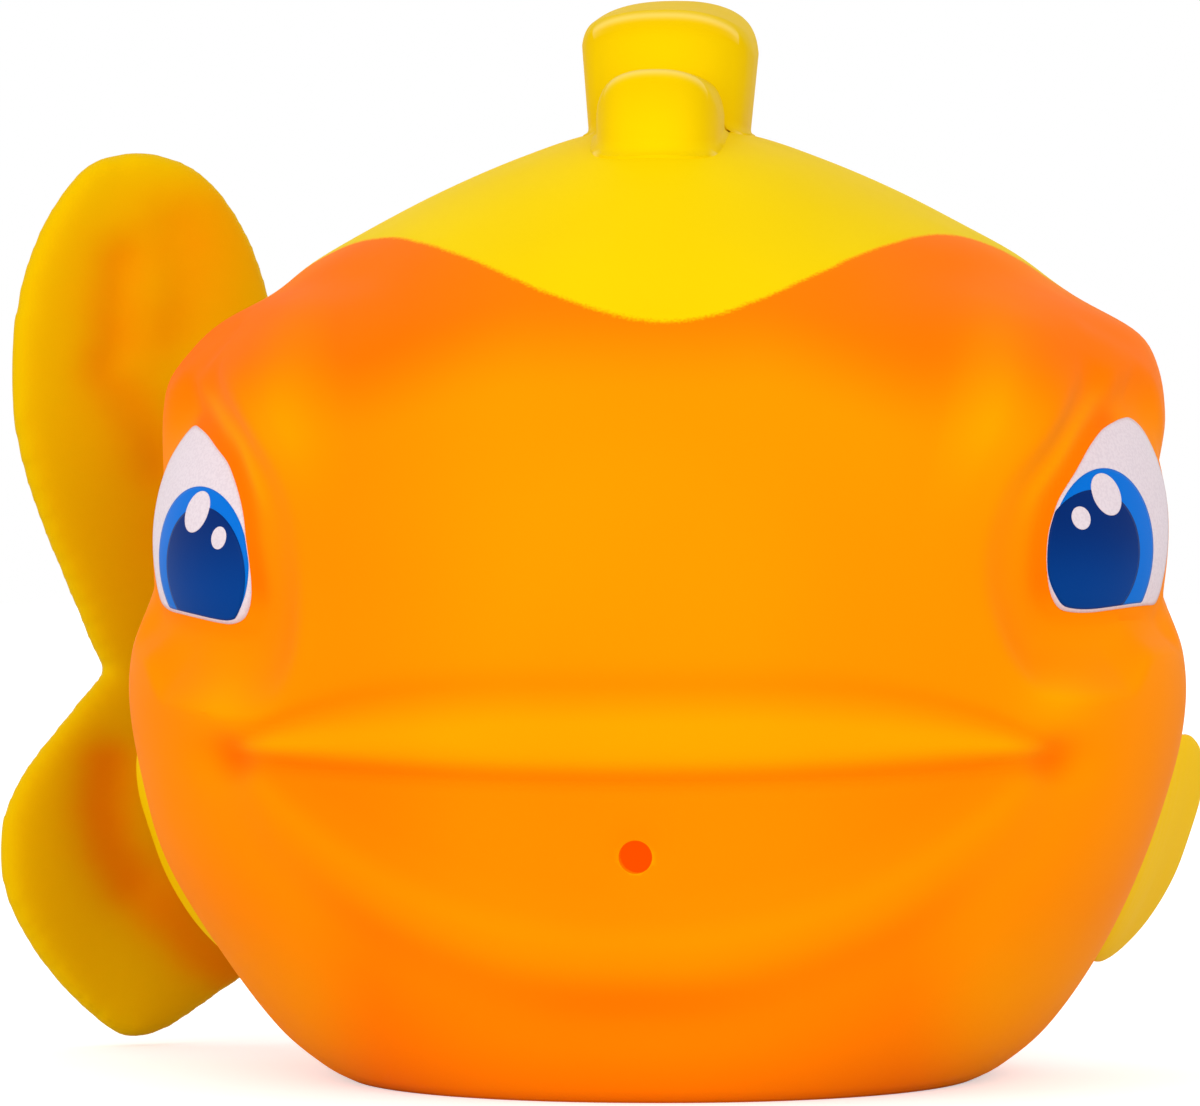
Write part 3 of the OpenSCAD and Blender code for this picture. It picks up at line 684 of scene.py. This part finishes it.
eye_layers = {}
for side, name in ((1, "left"), (-1, "right")):
    white = [(*WHITE_MIDDLES[side], WHITE_REACH, WHITE_REACH, 0)]
    for kind, slot, discs in (
            ("white", "eye_white_print", white), ("iris", "iris_print", IRISES[side]),
            ("pupil", "pupil_print", PUPILS[side]), ("glints", "glint_print", GLINTS[side])):
        eye_layers[name, kind] = print_layer(name + "_eye_" + kind, side, kind, slot, discs)


# Dorsal fin: a front lobe and a taller rear lobe. Each row holds its half width, front and back, heights
# there, lean, flare to the top, rounding, how far the top falls to the right and left, the power of that
# arch, how far the front is pressed in, and how far in the bead lies
FRONT_LOBE = (4.3, -4.2, 9.6, 69.1, 69.7, 1.0, 0.02, 0.9, (2.9, 2.9), 2.3, 0, 0.12)
REAR_LOBE = (6.2, 7.2, 21.4, 73.9, 75.6, 3.0, 0.24, 0.8, (2.6, 3.7), 2.3, 0.2, 0.35)
LOBE_FOOT = 56.0
LOBES_MEET = 6
LOBE_POWER = 3.6
BEAD_WIDTH = 0.22


def lobe_top(lobe, x, y):
    half_wide, y0, y1, top0, top1, _, _, _, arches, power, _, _ = lobe
    fall = arches[1] if x > 0 else arches[0]
    out = min(abs(x) / half_wide, 0.985)
    return mix(top0, top1, clamp((y - y0) / (y1 - y0))) - fall * (1 - (1 - out ** power) ** (1 / power))


def lobe_inwards(lobe, x, top, z):
    """How far a point of a lobe's front lies from the lobe's edge."""
    return -0.5 * log(exp(-2 * (lobe[0] - abs(x))) + exp(-2 * (top - z)))


def dorsal_lobe(lobe):
    """A rounded block with its foot in the crown."""
    half_wide, y0, y1, top0, top1, lean, flare, rounding, _, _, hollow, bead = lobe
    columns, top_rings, arc_rings, side_rings = 200, 8, 10, 104
    centre, half_long = (y0 + y1) / 2, (y1 - y0) / 2

    def place(ring, column):
        around = 2 * pi * column / columns - pi
        if ring < top_rings:
            share = (ring + 1) / top_rings
            inset, drop = rounding, 0
        else:
            share = 1
            arc = min((ring - top_rings + 1) / arc_rings, 1) * pi / 2
            inset, drop = rounding * (1 - sin(arc)), rounding * (1 - cos(arc))
        x = share * (half_wide - inset) * powered(cos(around), LOBE_POWER)
        y = share * (half_long - inset) * powered(sin(around), LOBE_POWER)
        top = lobe_top(lobe, x, centre + y)
        z = top - drop
        down = (ring - top_rings - arc_rings + 1) / side_rings
        if down > 0:
            z = mix(z, LOBE_FOOT, down ** 0.8)
        height = (z - LOBE_FOOT) / (top - LOBE_FOOT)
        if y < 0:
            inwards = lobe_inwards(lobe, x, top, z)
            front = ease(-2 * y / half_long)
            pressed = hollow * ease((inwards - bead - 0.2) / 0.9)
            y += front * (pressed - 0.16 * bell((inwards - bead) / BEAD_WIDTH))
        return (x * (1 - flare * (1 - height)), centre + y + lean * (height - 1), z)

    rings = top_rings + arc_rings + side_rings
    return wrapped_ball(columns, rings, place, (0, centre, (top0 + top1) / 2), (0, centre, LOBE_FOOT))


def bead_highlight_share(p, normal):
    """1 on the beads round the fronts of the two lobes, which are painted pale as a highlight."""
    found = 0.0
    for lobe in (FRONT_LOBE, REAR_LOBE):
        half_wide, y0, _, _, _, lean, flare, _, _, _, _, bead = lobe
        top = lobe_top(lobe, p.x, y0)
        height = clamp((p.z - LOBE_FOOT) / (top - LOBE_FOOT))
        x = p.x / (1 - flare * (1 - height))
        off_front = p.y - y0 - lean * (height - 1)
        if abs(x) < half_wide and p.z < top and abs(off_front) < 1.2:
            inwards = lobe_inwards(lobe, x, lobe_top(lobe, x, y0), p.z)
            found = max(found, bell((inwards - bead) / BEAD_WIDTH))
    return found


def fin_painted_shade(p, normal):
    """Painted highlight and shade on the fin: 0, painted lightest, in the middle of the front of each lobe
    and 1, painted as shade, well away from it.
    """
    if p.y > LOBES_MEET:
        return 1 - bell(hypot(p.x / 4, (p.z - 70.6) / 3.2))
    return 1 - bell(hypot(p.x / 3.2, (p.z - 64.4) / 3.4))


dorsal = joined(dorsal_lobe(FRONT_LOBE), dorsal_lobe(REAR_LOBE), "UNION")
flare_to_skin(dorsal, skin_tree, 0.4, 0.8)
dorsal_fin = finished("dorsal_fin", dorsal, "yellow_vinyl")
mark(dorsal_fin, "bead", bead_highlight_share)
# The depth attribute holds the fin's painted highlight and shade
mark(dorsal_fin, "depth", fin_painted_shade)
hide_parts("dorsal_fin")
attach(dorsal_fin, "body")


# Side fins: soft leaves that sweep back from the flanks
SIDE_FIN_Z = 16.2
SIDE_FIN_LENGTH = 13
SIDE_FIN_CUP = 0.01
# Where round the body the leaves stand, how far each is swept back and how far they tilt
SIDE_FIN_AROUND = radians(12)
SIDE_FIN_SWEEPS = {1: radians(73), -1: radians(67.5)}
SIDE_FIN_TILT = radians(19)
# How deep the roots lie in the wall
SIDE_FIN_ROOT = 1.3
# Shares of the length, then half height, rise of the middle and half thickness
SIDE_FIN_ROWS = [
    (1, 0, 0.1, 0), (0.985, 2.4, 0.1, 0.6), (0.93, 4.6, -0.1, 0.8), (0.8, 6.7, -0.4, 0.9),
    (0.6, 8.0, -0.7, 1.0), (0.4, 8.5, -0.9, 1.15), (0.2, 8.5, -0.9, 1.3), (0.05, 8.1, -0.8, 1.45),
    (-0.15, 7.6, -0.6, 1.6)]


def side_fin(side):
    columns, rings = 96, 72
    spot = slice_point(curve_at(OUTLINE, row_of_height(SIDE_FIN_Z)), SIDE_FIN_AROUND)
    frame_of_fin = (
        Matrix.Diagonal((side, 1, 1, 1)) @ Matrix.Translation(spot)
        @ Matrix.Rotation(SIDE_FIN_SWEEPS[side], 4, "Z") @ Matrix.Rotation(SIDE_FIN_TILT, 4, "X")
        @ Matrix.Translation((-SIDE_FIN_ROOT, 0, 0)))

    def place(ring, column):
        around = 2 * pi * column / columns - pi
        row = (ring + 1) / rings
        share, half_high, middle, half_thick = curve_at(SIDE_FIN_ROWS, row * (len(SIDE_FIN_ROWS) - 1))
        up = powered(cos(around), 2)
        out = powered(sin(around), 2.6)
        high = middle + half_high * up
        cup = SIDE_FIN_CUP * high * high + 0.35 * (1 - up * up) * ease(share * 2) * (1 if out < 0 else 0)
        return frame_of_fin @ Vector((SIDE_FIN_LENGTH * share, half_thick * out + cup, high))

    top = frame_of_fin @ Vector((SIDE_FIN_LENGTH, 0, SIDE_FIN_ROWS[0][2]))
    bottom = frame_of_fin @ Vector((SIDE_FIN_LENGTH * SIDE_FIN_ROWS[-1][0], 0, 0))
    bm = wrapped_ball(columns, rings, place, top, bottom)
    bmesh.ops.recalc_face_normals(bm, faces=bm.faces)
    flare_to_skin(bm, skin_tree, 0.8)
    return bm


side_fins = []
for side, name in ((1, "left"), (-1, "right")):
    fin = finished(name + "_side_fin_leaf", side_fin(side), "yellow_vinyl")
    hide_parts(name + "_side_fin")
    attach(fin, "body")
    side_fins.append(fin)


# Tail: two hollowed lobes on a neck. Rows hold shares of the reach and height, for the outer edge and
# then for the inner
UPPER_LOBE = [
    (0.04, 0.36, 0, 0.60), (0.40, 0.36, 0.22, 0.64), (0.68, 0.35, 0.44, 0.70),
    (0.835, 0.385, 0.555, 0.77), (0.878, 0.475, 0.605, 0.83), (0.935, 0.57, 0.62, 0.88),
    (0.985, 0.68, 0.642, 0.915), (0.987, 0.79, 0.672, 0.95), (0.962, 0.885, 0.708, 0.978),
    (0.905, 0.96, 0.755, 0.992), (0.86, 0.99, 0.795, 0.996), (0.825, 0.992, 0.825, 0.992)]
UPPER_TIP = (0.825, 0.992)
LOWER_LOBE = [
    (0.02, 0.58, 0.02, 0.34), (0.40, 0.50, 0.20, 0.27), (0.66, 0.47, 0.38, 0.19),
    (0.84, 0.435, 0.52, 0.125), (0.90, 0.368, 0.61, 0.09), (0.985, 0.30, 0.67, 0.065),
    (1.01, 0.22, 0.71, 0.045), (0.985, 0.15, 0.74, 0.03), (0.925, 0.083, 0.765, 0.02),
    (0.865, 0.038, 0.79, 0.015), (0.82, 0.014, 0.82, 0.014)]
LOWER_TIP = (0.82, 0.014)
TAIL_RIM = 4.4
TAIL_HOLLOW = 0.9
# Half sizes of the neck's stalk
NECK_HALVES = (6.0, 5.4, 10.8)
# Grain at which the tail is rebuilt, how often it is smoothed, and what that takes away
TAIL_GRAIN = 0.4
TAIL_SMOOTHINGS = 14
TAIL_SWELL = 0.45
# Soft flutes pressed into the front of the tail, as lines through (x, z), their width and depth
FLUTES = [
    ([(-41.2, 57.5), (-41.5, 54), (-41.6, 51.5), (-42.2, 49.2), (-40.6, 47), (-39.2, 45), (-38.3, 42.5)],
     1.5, 1.0),
    ([(-37.2, 59.5), (-36.7, 55.5), (-37.0, 52.5)], 2.2, 0.8),
    ([(-42.0, 20.8), (-42.3, 17.5), (-41.6, 14.4), (-40.4, 12.2)], 2.3, 1.3)]
# Where its paint lies thin and the orange shows, with painted shade along the flutes and in the hollows:
# lines, their width and strength
THIN_PAINT_AND_SHADE = [
    ([(-41.2, 57), (-41.5, 54), (-41.6, 51.5), (-42.1, 49.2), (-40.6, 47), (-39.2, 45), (-38.3, 42.5)],
     2.1, 0.4),
    ([(-36.4, 60), (-36.2, 55.5), (-37.0, 52.5)], 3.8, 0.45), ([(-33.5, 62), (-32.5, 54)], 3.4, 0.3),
    ([(-40.5, 58), (-41, 52), (-40, 45), (-37, 37)], 5.5, 0.35),
    ([(-42.0, 20.6), (-42.2, 17.5), (-41.6, 14.4), (-40.5, 12.3)], 2.3, 0.75),
    ([(-37.9, 10), (-35.6, 7.2), (-33.4, 5.4)], 2.6, 0.75), ([(-39, 20), (-38, 13)], 3.5, 0.3)]


def tail_y(x):
    """The tail's middle plane, which curls towards the front."""
    return NECK_Y - TAIL_CURL * (max(0, NECK_X - x) / TAIL_REACH) ** 2


def tail_lobe(rows, tip):
    columns, rings = 72, 110

    def place(ring, column):
        around = 2 * pi * column / columns - pi
        along = (ring + 1) / rings
        row = smooth_at(rows, (1 - along) * (len(rows) - 1))
        thick = 1 - 0.35 * (1 - along) ** 4
        u = cos(around)
        share = (1 - u) / 2
        x = mix(NECK_X - row[0] * TAIL_REACH, NECK_X - row[2] * TAIL_REACH, share)
        z = mix(row[1], row[3], share) * TAIL_HEIGHT
        y = tail_y(x) + TAIL_RIM / 2 * thick * powered(sin(around), 2.4)
        if sin(around) < 0:
            y += TAIL_HOLLOW * (1 - u * u) ** 2 * thick
            y += sum(deep * stroke(x, z, line, width) for line, width, deep in FLUTES) * (1 - u ** 4)
        return (x, y, z)

    tip_x = NECK_X - tip[0] * TAIL_REACH
    top = (tip_x, tail_y(tip_x), tip[1] * TAIL_HEIGHT)
    root = rows[0]
    root_x = NECK_X - (root[0] + root[2]) / 2 * TAIL_REACH
    bottom = (root_x, tail_y(root_x), (root[1] + root[3]) / 2 * TAIL_HEIGHT)
    bm = wrapped_ball(columns, rings, place, top, bottom)
    bmesh.ops.recalc_face_normals(bm, faces=bm.faces)
    return bm


def tail_neck():
    """The stalk that carries the tail, drawn out of the rump."""
    bm = bmesh.new()
    bmesh.ops.create_uvsphere(bm, u_segments=48, v_segments=32, radius=1)
    for vert in bm.verts:
        x, y, z = vert.co
        vert.co = (
            NECK_X + NECK_HALVES[0] * powered(x, 2.1), NECK_Y - 3 + NECK_HALVES[1] * powered(y, 2.1),
            NECK_Z + NECK_HALVES[2] * powered(z, 2.2))
    return bm


tail = remoulded(
    [tail_lobe(UPPER_LOBE, UPPER_TIP), tail_lobe(LOWER_LOBE, LOWER_TIP), tail_neck()],
    TAIL_GRAIN, TAIL_SMOOTHINGS, TAIL_SWELL)
flare_to_skin(tail, skin_tree, 2.5)


def thin_paint_and_shade(p, normal):
    """How thin the yellow paint lies on the tail's front, together with painted shade in its flutes and
    hollows.
    """
    bare = 1.0
    for line, width, strength in THIN_PAINT_AND_SHADE:
        bare *= 1 - strength * stroke(p.x, p.z, line, width)
    return (1 - bare) * ease(-2 * normal.y)


tail_piece = finished("tail_fin", tail, "yellow_vinyl")
# The thin attribute holds thin paint together with painted shade in the flutes and hollows
mark(tail_piece, "thin", thin_paint_and_shade)
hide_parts("tail_fin")
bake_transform(tail_piece)


# Node helpers for the materials

def new_node(tree, kind, **values):
    node = tree.nodes.new(kind)
    for key, value in values.items():
        if hasattr(node, key):
            setattr(node, key, value)
        else:
            node.inputs[key.replace("_", " ")].default_value = value
    return node


def wire(tree, source, target):
    tree.links.new(source, target)


def new_group(name, inputs, outputs):
    group = bpy.data.node_groups.new(name, "ShaderNodeTree")
    for label, kind, value in inputs:
        socket = group.interface.new_socket(name=label, in_out="INPUT", socket_type=kind)
        socket.default_value = value
    for label, kind in outputs:
        group.interface.new_socket(name=label, in_out="OUTPUT", socket_type=kind)
    return group, group.nodes.new("NodeGroupInput"), group.nodes.new("NodeGroupOutput")


def math_node(tree, operation, a, b=None, c=None):
    node = tree.nodes.new("ShaderNodeMath")
    node.operation = operation
    for socket, value in zip(node.inputs, (a, b, c)):
        if value is None:
            continue
        if isinstance(value, (int, float)):
            socket.default_value = value
        else:
            wire(tree, value, socket)
    return node.outputs[0]


def mix_colour(tree, share, first, second, blend="MIX"):
    node = tree.nodes.new("ShaderNodeMix")
    node.data_type = "RGBA"
    node.blend_type = blend
    for socket, value in ((node.inputs[0], share), (node.inputs[6], first), (node.inputs[7], second)):
        if isinstance(value, (int, float, tuple)):
            socket.default_value = value
        else:
            wire(tree, value, socket)
    return node.outputs[2]


def noise_at(tree, scale, detail=2.0):
    where = tree.nodes.new("ShaderNodeTexCoord")
    node = new_node(tree, "ShaderNodeTexNoise", Scale=scale, Detail=detail)
    wire(tree, where.outputs["Object"], node.inputs["Vector"])
    return node.outputs["Fac"]


def ramp(tree, value, low, high):
    node = tree.nodes.new("ShaderNodeMapRange")
    node.interpolation_type = "SMOOTHSTEP"
    node.inputs["From Min"].default_value = low
    node.inputs["From Max"].default_value = high
    wire(tree, value, node.inputs["Value"])
    return node.outputs[0]


def attribute_at(tree, name):
    node = tree.nodes.new("ShaderNodeAttribute")
    node.attribute_name = name
    return node.outputs["Fac"]


# Scales of the noise in the vinyl and its paint
DRIFT_SCALE = 55
SATIN_SCALE = 240
WANDER_SCALE = 260
THIN_SCALE = 300
PEEL_SCALE = 900
STREAK_SCALE = 1800
GRAIN_SCALE = 3800
SPECKLE_SCALE = 5200


def make_vinyl_group():
    """Soft vinyl: a slow drift of colour, a satin that varies, and the fine grain of the sprayed paint."""
    group, given, result = new_group(
        "soft_vinyl",
        [("Colour", "NodeSocketColor", (1, 1, 1, 1)), ("Roughness", "NodeSocketFloat", 0.42),
         ("Grain", "NodeSocketFloat", 1.0)],
        [("Colour", "NodeSocketColor"), ("Roughness", "NodeSocketFloat"), ("Height", "NodeSocketFloat")])
    drift = ramp(group, noise_at(group, DRIFT_SCALE, 1), 0.3, 0.7)
    shade = mix_colour(group, drift, (0.965, 0.95, 0.95, 1), (1.0, 1.0, 1.0, 1))
    wire(group, mix_colour(group, 1.0, given.outputs["Colour"], shade, "MULTIPLY"), result.inputs["Colour"])
    patches = math_node(group, "MULTIPLY_ADD", noise_at(group, SATIN_SCALE, 2), 0.10, -0.05)
    wire(group, math_node(group, "ADD", given.outputs["Roughness"], patches), result.inputs["Roughness"])
    fine = noise_at(group, GRAIN_SCALE, 1)
    orange_peel = noise_at(group, PEEL_SCALE, 1)
    height = math_node(group, "MULTIPLY_ADD", orange_peel, 1.6, fine)
    wire(group, math_node(group, "MULTIPLY", height, given.outputs["Grain"]), result.inputs["Height"])
    return group


def make_spray_group():
    """The edge of a sprayed colour, broken up into fine speckle."""
    group, given, result = new_group(
        "spray_edge",
        [("Distance", "NodeSocketFloat", 0.0), ("Softness", "NodeSocketFloat", 0.3),
         ("Speckle", "NodeSocketFloat", 0.5)],
        [("Mask", "NodeSocketFloat")])
    speckle = math_node(group, "SUBTRACT", noise_at(group, SPECKLE_SCALE, 1), 0.5)
    scatter = math_node(group, "MULTIPLY", speckle, given.outputs["Speckle"])
    wander = math_node(group, "MULTIPLY_ADD", noise_at(group, WANDER_SCALE, 1), 0.5, -0.25)
    distance = math_node(group, "ADD", math_node(group, "ADD", given.outputs["Distance"], scatter), wander)
    share = math_node(group, "DIVIDE", distance, given.outputs["Softness"])
    wire(group, ramp(group, share, -1, 1), result.inputs["Mask"])
    return group


vinyl_group = make_vinyl_group()
spray_group = make_spray_group()


def new_material(name):
    material = bpy.data.materials.new(name)
    material.use_nodes = True
    tree = material.node_tree
    shader = tree.nodes["Principled BSDF"]
    return material, tree, shader


def put_group(tree, group, **values):
    node = tree.nodes.new("ShaderNodeGroup")
    node.node_tree = group
    for key, value in values.items():
        if isinstance(value, (int, float, tuple)):
            node.inputs[key].default_value = value
        else:
            wire(tree, value, node.inputs[key])
    return node


def dress(tree, shader, colour, roughness, grain=1.0, height=0.012):
    """Puts the vinyl's colour, satin and grain on a shader."""
    skin = put_group(tree, vinyl_group, Colour=colour, Roughness=roughness, Grain=grain)
    wire(tree, skin.outputs["Colour"], shader.inputs["Base Color"])
    wire(tree, skin.outputs["Roughness"], shader.inputs["Roughness"])
    bump = new_node(tree, "ShaderNodeBump", Strength=0.25, Distance=height * MM)
    wire(tree, skin.outputs["Height"], bump.inputs["Height"])
    wire(tree, bump.outputs["Normal"], shader.inputs["Normal"])


# The orange painted lightest, as highlight, and next the same orange painted as shade
ORANGE = (1.0, 0.335, 0.0, 1)
SHADED_ORANGE = (1.0, 0.165, 0.0, 1)
YELLOW = (0.86, 0.60, 0.0, 1)
# The dorsal fin's yellow painted as shade, away from the painted highlights on its lobes
SHADED_YELLOW = (0.78, 0.51, 0.0, 1)
FIN_YELLOW = (0.92, 0.56, 0.0, 1)
TAIL_YELLOW = (0.78, 0.475, 0.0, 1)
# Orange where the tail's paint lies thin, darkened as painted shade in the flutes and hollows
SHADED_HOLLOW_ORANGE = (0.85, 0.25, 0.0, 1)
# Pale yellow painted on the dorsal beads as a highlight
HIGHLIGHT_YELLOW = (0.88, 0.66, 0.16, 1)
# Colour of the painted glow in the hollow and the squirt bore
PAINTED_GLOW = (0.55, 0.10, 0.0, 1)
PRINT_WHITE = (0.76, 0.66, 0.70, 1)
SPECKLE = (0.66, 0.56, 0.61, 1)
IRIS_BLUE = (0.0, 0.155, 0.64, 1)
PUPIL_TOP = (0.0, 0.022, 0.15, 1)
PUPIL_LOW = (0.0, 0.045, 0.25, 1)


# How strongly each surface mirrors
VINYL_MIRROR = 0.02
PRINT_MIRROR = 0.04
PLASTIC_MIRROR = 0.4
VINYL_TINT = (1.0, 0.8, 0.3, 1)


def soft_shader(shader, tint):
    shader.inputs["Specular IOR Level"].default_value = VINYL_MIRROR
    shader.inputs["Specular Tint"].default_value = tint


def make_body_vinyl():
    material, tree, shader = new_material("sprayed_orange_and_yellow_vinyl")
    soft_shader(shader, (1.0, 0.45, 0.2, 1))
    line = put_group(tree, spray_group, Distance=attribute_at(tree, "over_line"), Softness=0.35, Speckle=0.6)
    # Painted shade and highlight on the orange, read from the depth attribute
    orange = mix_colour(tree, attribute_at(tree, "depth"), ORANGE, SHADED_ORANGE)
    dress(tree, shader, mix_colour(tree, line.outputs["Mask"], orange, YELLOW), 0.55)
    # A painted glow on the faces of the hollow and the squirt bore, standing in for daylight that the thin
    # wall lets through
    glow = mix_colour(tree, attribute_at(tree, "inside"), (0, 0, 0, 1), PAINTED_GLOW)
    wire(tree, glow, shader.inputs["Emission Color"])
    shader.inputs["Emission Strength"].default_value = 1
    return material


def make_yellow_vinyl(name, colour):
    material, tree, shader = new_material(name)
    soft_shader(shader, VINYL_TINT)
    # A pale highlight painted on the beads
    pale_highlight = math_node(tree, "MULTIPLY", attribute_at(tree, "bead"), 0.65)
    # Painted highlight and shade on the dorsal fin, read from the depth attribute
    yellow = mix_colour(tree, attribute_at(tree, "depth"), colour, SHADED_YELLOW)
    dress(tree, shader, mix_colour(tree, pale_highlight, yellow, HIGHLIGHT_YELLOW), 0.5)
    return material


def make_tail_vinyl():
    material, tree, shader = new_material("thinly_sprayed_and_shaded_yellow_vinyl")
    soft_shader(shader, VINYL_TINT)
    # Thin paint and painted shade in the flutes and hollows, broken into patches
    patchy = math_node(tree, "MULTIPLY_ADD", noise_at(tree, THIN_SCALE, 2), 0.14, -0.07)
    thin = math_node(tree, "ADD", attribute_at(tree, "thin"), patchy)
    dress(tree, shader, mix_colour(tree, ramp(tree, thin, 0.0, 1.0), TAIL_YELLOW, SHADED_HOLLOW_ORANGE), 0.5)
    return material


def make_print(name, colour, roughness=0.3, speckle=None):
    material, tree, shader = new_material(name)
    shader.inputs["Specular IOR Level"].default_value = PRINT_MIRROR
    if speckle is not None:
        dots = ramp(tree, noise_at(tree, SPECKLE_SCALE, 1), 0.42, 0.62)
        colour = mix_colour(tree, math_node(tree, "MULTIPLY", dots, 0.5), colour, speckle)
    dress(tree, shader, colour, roughness, 0.6)
    return material


def make_pupil():
    material, tree, shader = new_material("dark_pupil_print")
    shader.inputs["Specular IOR Level"].default_value = PRINT_MIRROR
    where = tree.nodes.new("ShaderNodeTexCoord")
    parts = tree.nodes.new("ShaderNodeSeparateXYZ")
    wire(tree, where.outputs["Object"], parts.inputs["Vector"])
    low = ramp(tree, parts.outputs["Z"], 0.039, 0.033)
    dress(tree, shader, mix_colour(tree, low, PUPIL_TOP, PUPIL_LOW), 0.3, 0.6)
    return material


def put_on(piece, material):
    piece.data.materials.clear()
    piece.data.materials.append(material)


put_on(body_skin, make_body_vinyl())
put_on(dorsal_fin, make_yellow_vinyl("dorsal_yellow_vinyl", YELLOW))
side_fin_vinyl = make_yellow_vinyl("side_fin_yellow_vinyl", FIN_YELLOW)
for fin in side_fins:
    put_on(fin, side_fin_vinyl)
put_on(tail_piece, make_tail_vinyl())

prints = {
    "white": make_print("sprayed_white_print", PRINT_WHITE, 0.4, SPECKLE),
    "iris": make_print("blue_iris_print", IRIS_BLUE),
    "pupil": make_pupil(),
    "glints": make_print("glint_print", PRINT_WHITE, 0.35, SPECKLE),
}
for (name, kind), layer in eye_layers.items():
    put_on(layer, prints[kind])


# Squeaker: the CAD pieces keep their shapes
def make_squeaker_plastic():
    material, tree, shader = new_material("moulded_squeaker_plastic")
    shader.inputs["Specular IOR Level"].default_value = PLASTIC_MIRROR
    dress(tree, shader, (0.80, 0.79, 0.74, 1), 0.5, 0.8)
    return material


def make_reed_film():
    material, tree, shader = new_material("reed_strip")
    where = tree.nodes.new("ShaderNodeTexCoord")
    streaks = new_node(tree, "ShaderNodeTexNoise", Scale=STREAK_SCALE, Detail=2)
    stretch = new_node(tree, "ShaderNodeMapping", Scale=(1, 0.05, 1))
    wire(tree, where.outputs["Object"], stretch.inputs["Vector"])
    wire(tree, stretch.outputs["Vector"], streaks.inputs["Vector"])
    colour = mix_colour(tree, streaks.outputs["Fac"], (0.62, 0.70, 0.71, 1), (0.74, 0.80, 0.80, 1))
    dress(tree, shader, colour, 0.28, 0.3)
    return material


squeaker_plastic = make_squeaker_plastic()
for node in ("squeaker_cup", "squeaker_cover", "reed_block", "reed_clamp"):
    put_on(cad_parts[node], squeaker_plastic)
put_on(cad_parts["squeaker_reed"], make_reed_film())


# Stage: a white floor under a white sky, and three soft lamps
FLOOR_SIZE = 3
FLOOR_GLOW = 0.5
SKY_LIGHT = 0.88
SKY_SEEN = 1.0


def make_floor():
    bm = bmesh.new()
    bmesh.ops.create_grid(bm, x_segments=1, y_segments=1, size=FLOOR_SIZE)
    floor = loose_object(bm, "floor")
    material, tree, shader = new_material("white_floor")
    shader.inputs["Base Color"].default_value = (0.80, 0.80, 0.80, 1)
    shader.inputs["Roughness"].default_value = 0.9
    shader.inputs["Specular IOR Level"].default_value = 0.0
    seen = tree.nodes.new("ShaderNodeLightPath")
    glow = new_node(tree, "ShaderNodeEmission", Strength=FLOOR_GLOW)
    together = tree.nodes.new("ShaderNodeAddShader")
    chosen = tree.nodes.new("ShaderNodeMixShader")
    wire(tree, shader.outputs[0], together.inputs[0])
    wire(tree, glow.outputs[0], together.inputs[1])
    wire(tree, seen.outputs["Is Camera Ray"], chosen.inputs[0])
    wire(tree, shader.outputs[0], chosen.inputs[1])
    wire(tree, together.outputs[0], chosen.inputs[2])
    wire(tree, chosen.outputs[0], tree.nodes["Material Output"].inputs["Surface"])
    put_on(floor, material)


make_floor()

world = bpy.data.worlds.new("studio")
bpy.context.scene.world = world
world.use_nodes = True
sky = world.node_tree
for node in list(sky.nodes):
    sky.nodes.remove(node)
seen = sky.nodes.new("ShaderNodeLightPath")
around = new_node(sky, "ShaderNodeBackground", Strength=SKY_LIGHT)
behind = new_node(sky, "ShaderNodeBackground", Strength=SKY_SEEN)
for background in (around, behind):
    background.inputs["Color"].default_value = (1, 1, 1, 1)
either = math_node(sky, "MAXIMUM", seen.outputs["Is Camera Ray"], seen.outputs["Is Transmission Ray"])
either = math_node(sky, "MAXIMUM", either, seen.outputs["Is Glossy Ray"])
chosen = sky.nodes.new("ShaderNodeMixShader")
wire(sky, either, chosen.inputs[0])
wire(sky, around.outputs[0], chosen.inputs[1])
wire(sky, behind.outputs[0], chosen.inputs[2])
wire(sky, chosen.outputs[0], sky.nodes.new("ShaderNodeOutputWorld").inputs["Surface"])


TOY_MIDDLE = (0, 0, 0.035)


def lamp(name, place, size, power):
    light = bpy.data.lights.new(name, "AREA")
    light.shape = "RECTANGLE"
    light.size, light.size_y = size
    light.energy = power
    made = bpy.data.objects.new(name, light)
    made.location = place
    made.rotation_euler = (Vector(TOY_MIDDLE) - Vector(place)).to_track_quat("-Z", "Y").to_euler()
    bpy.context.scene.collection.objects.link(made)


lamp("key", (0.25, -0.8, 0.22), (0.7, 0.6), 2.6)
lamp("fill", (-0.65, -0.55, 0.10), (0.6, 0.6), 2.3)
lamp("top", (0.05, 0.15, 0.9), (0.7, 0.7), 0.2)

# Camera: half a metre off and level, a little to the fish's left. The shifts are in the photo's pixels
CAMERA_DISTANCE = 0.5
CAMERA_TURN = radians(3.5)
CAMERA_HEIGHT = 0.038
CAMERA_LENS = 218.7
PICTURE_WIDTH = 1200
SHIFT_ACROSS = -58.5
SHIFT_UP = -27
camera = bpy.data.objects.new("camera", bpy.data.cameras.new("camera"))
bpy.context.scene.collection.objects.link(camera)
camera.location = (CAMERA_DISTANCE * sin(CAMERA_TURN), -CAMERA_DISTANCE * cos(CAMERA_TURN), CAMERA_HEIGHT)
camera.rotation_euler = (pi / 2, 0, CAMERA_TURN)
camera.data.sensor_width = 36
camera.data.lens = CAMERA_LENS
camera.data.shift_x = SHIFT_ACROSS / PICTURE_WIDTH
camera.data.shift_y = SHIFT_UP / PICTURE_WIDTH
camera.data.clip_start = 0.01
bpy.context.scene.camera = camera

bpy.context.scene.view_settings.view_transform = "Standard"
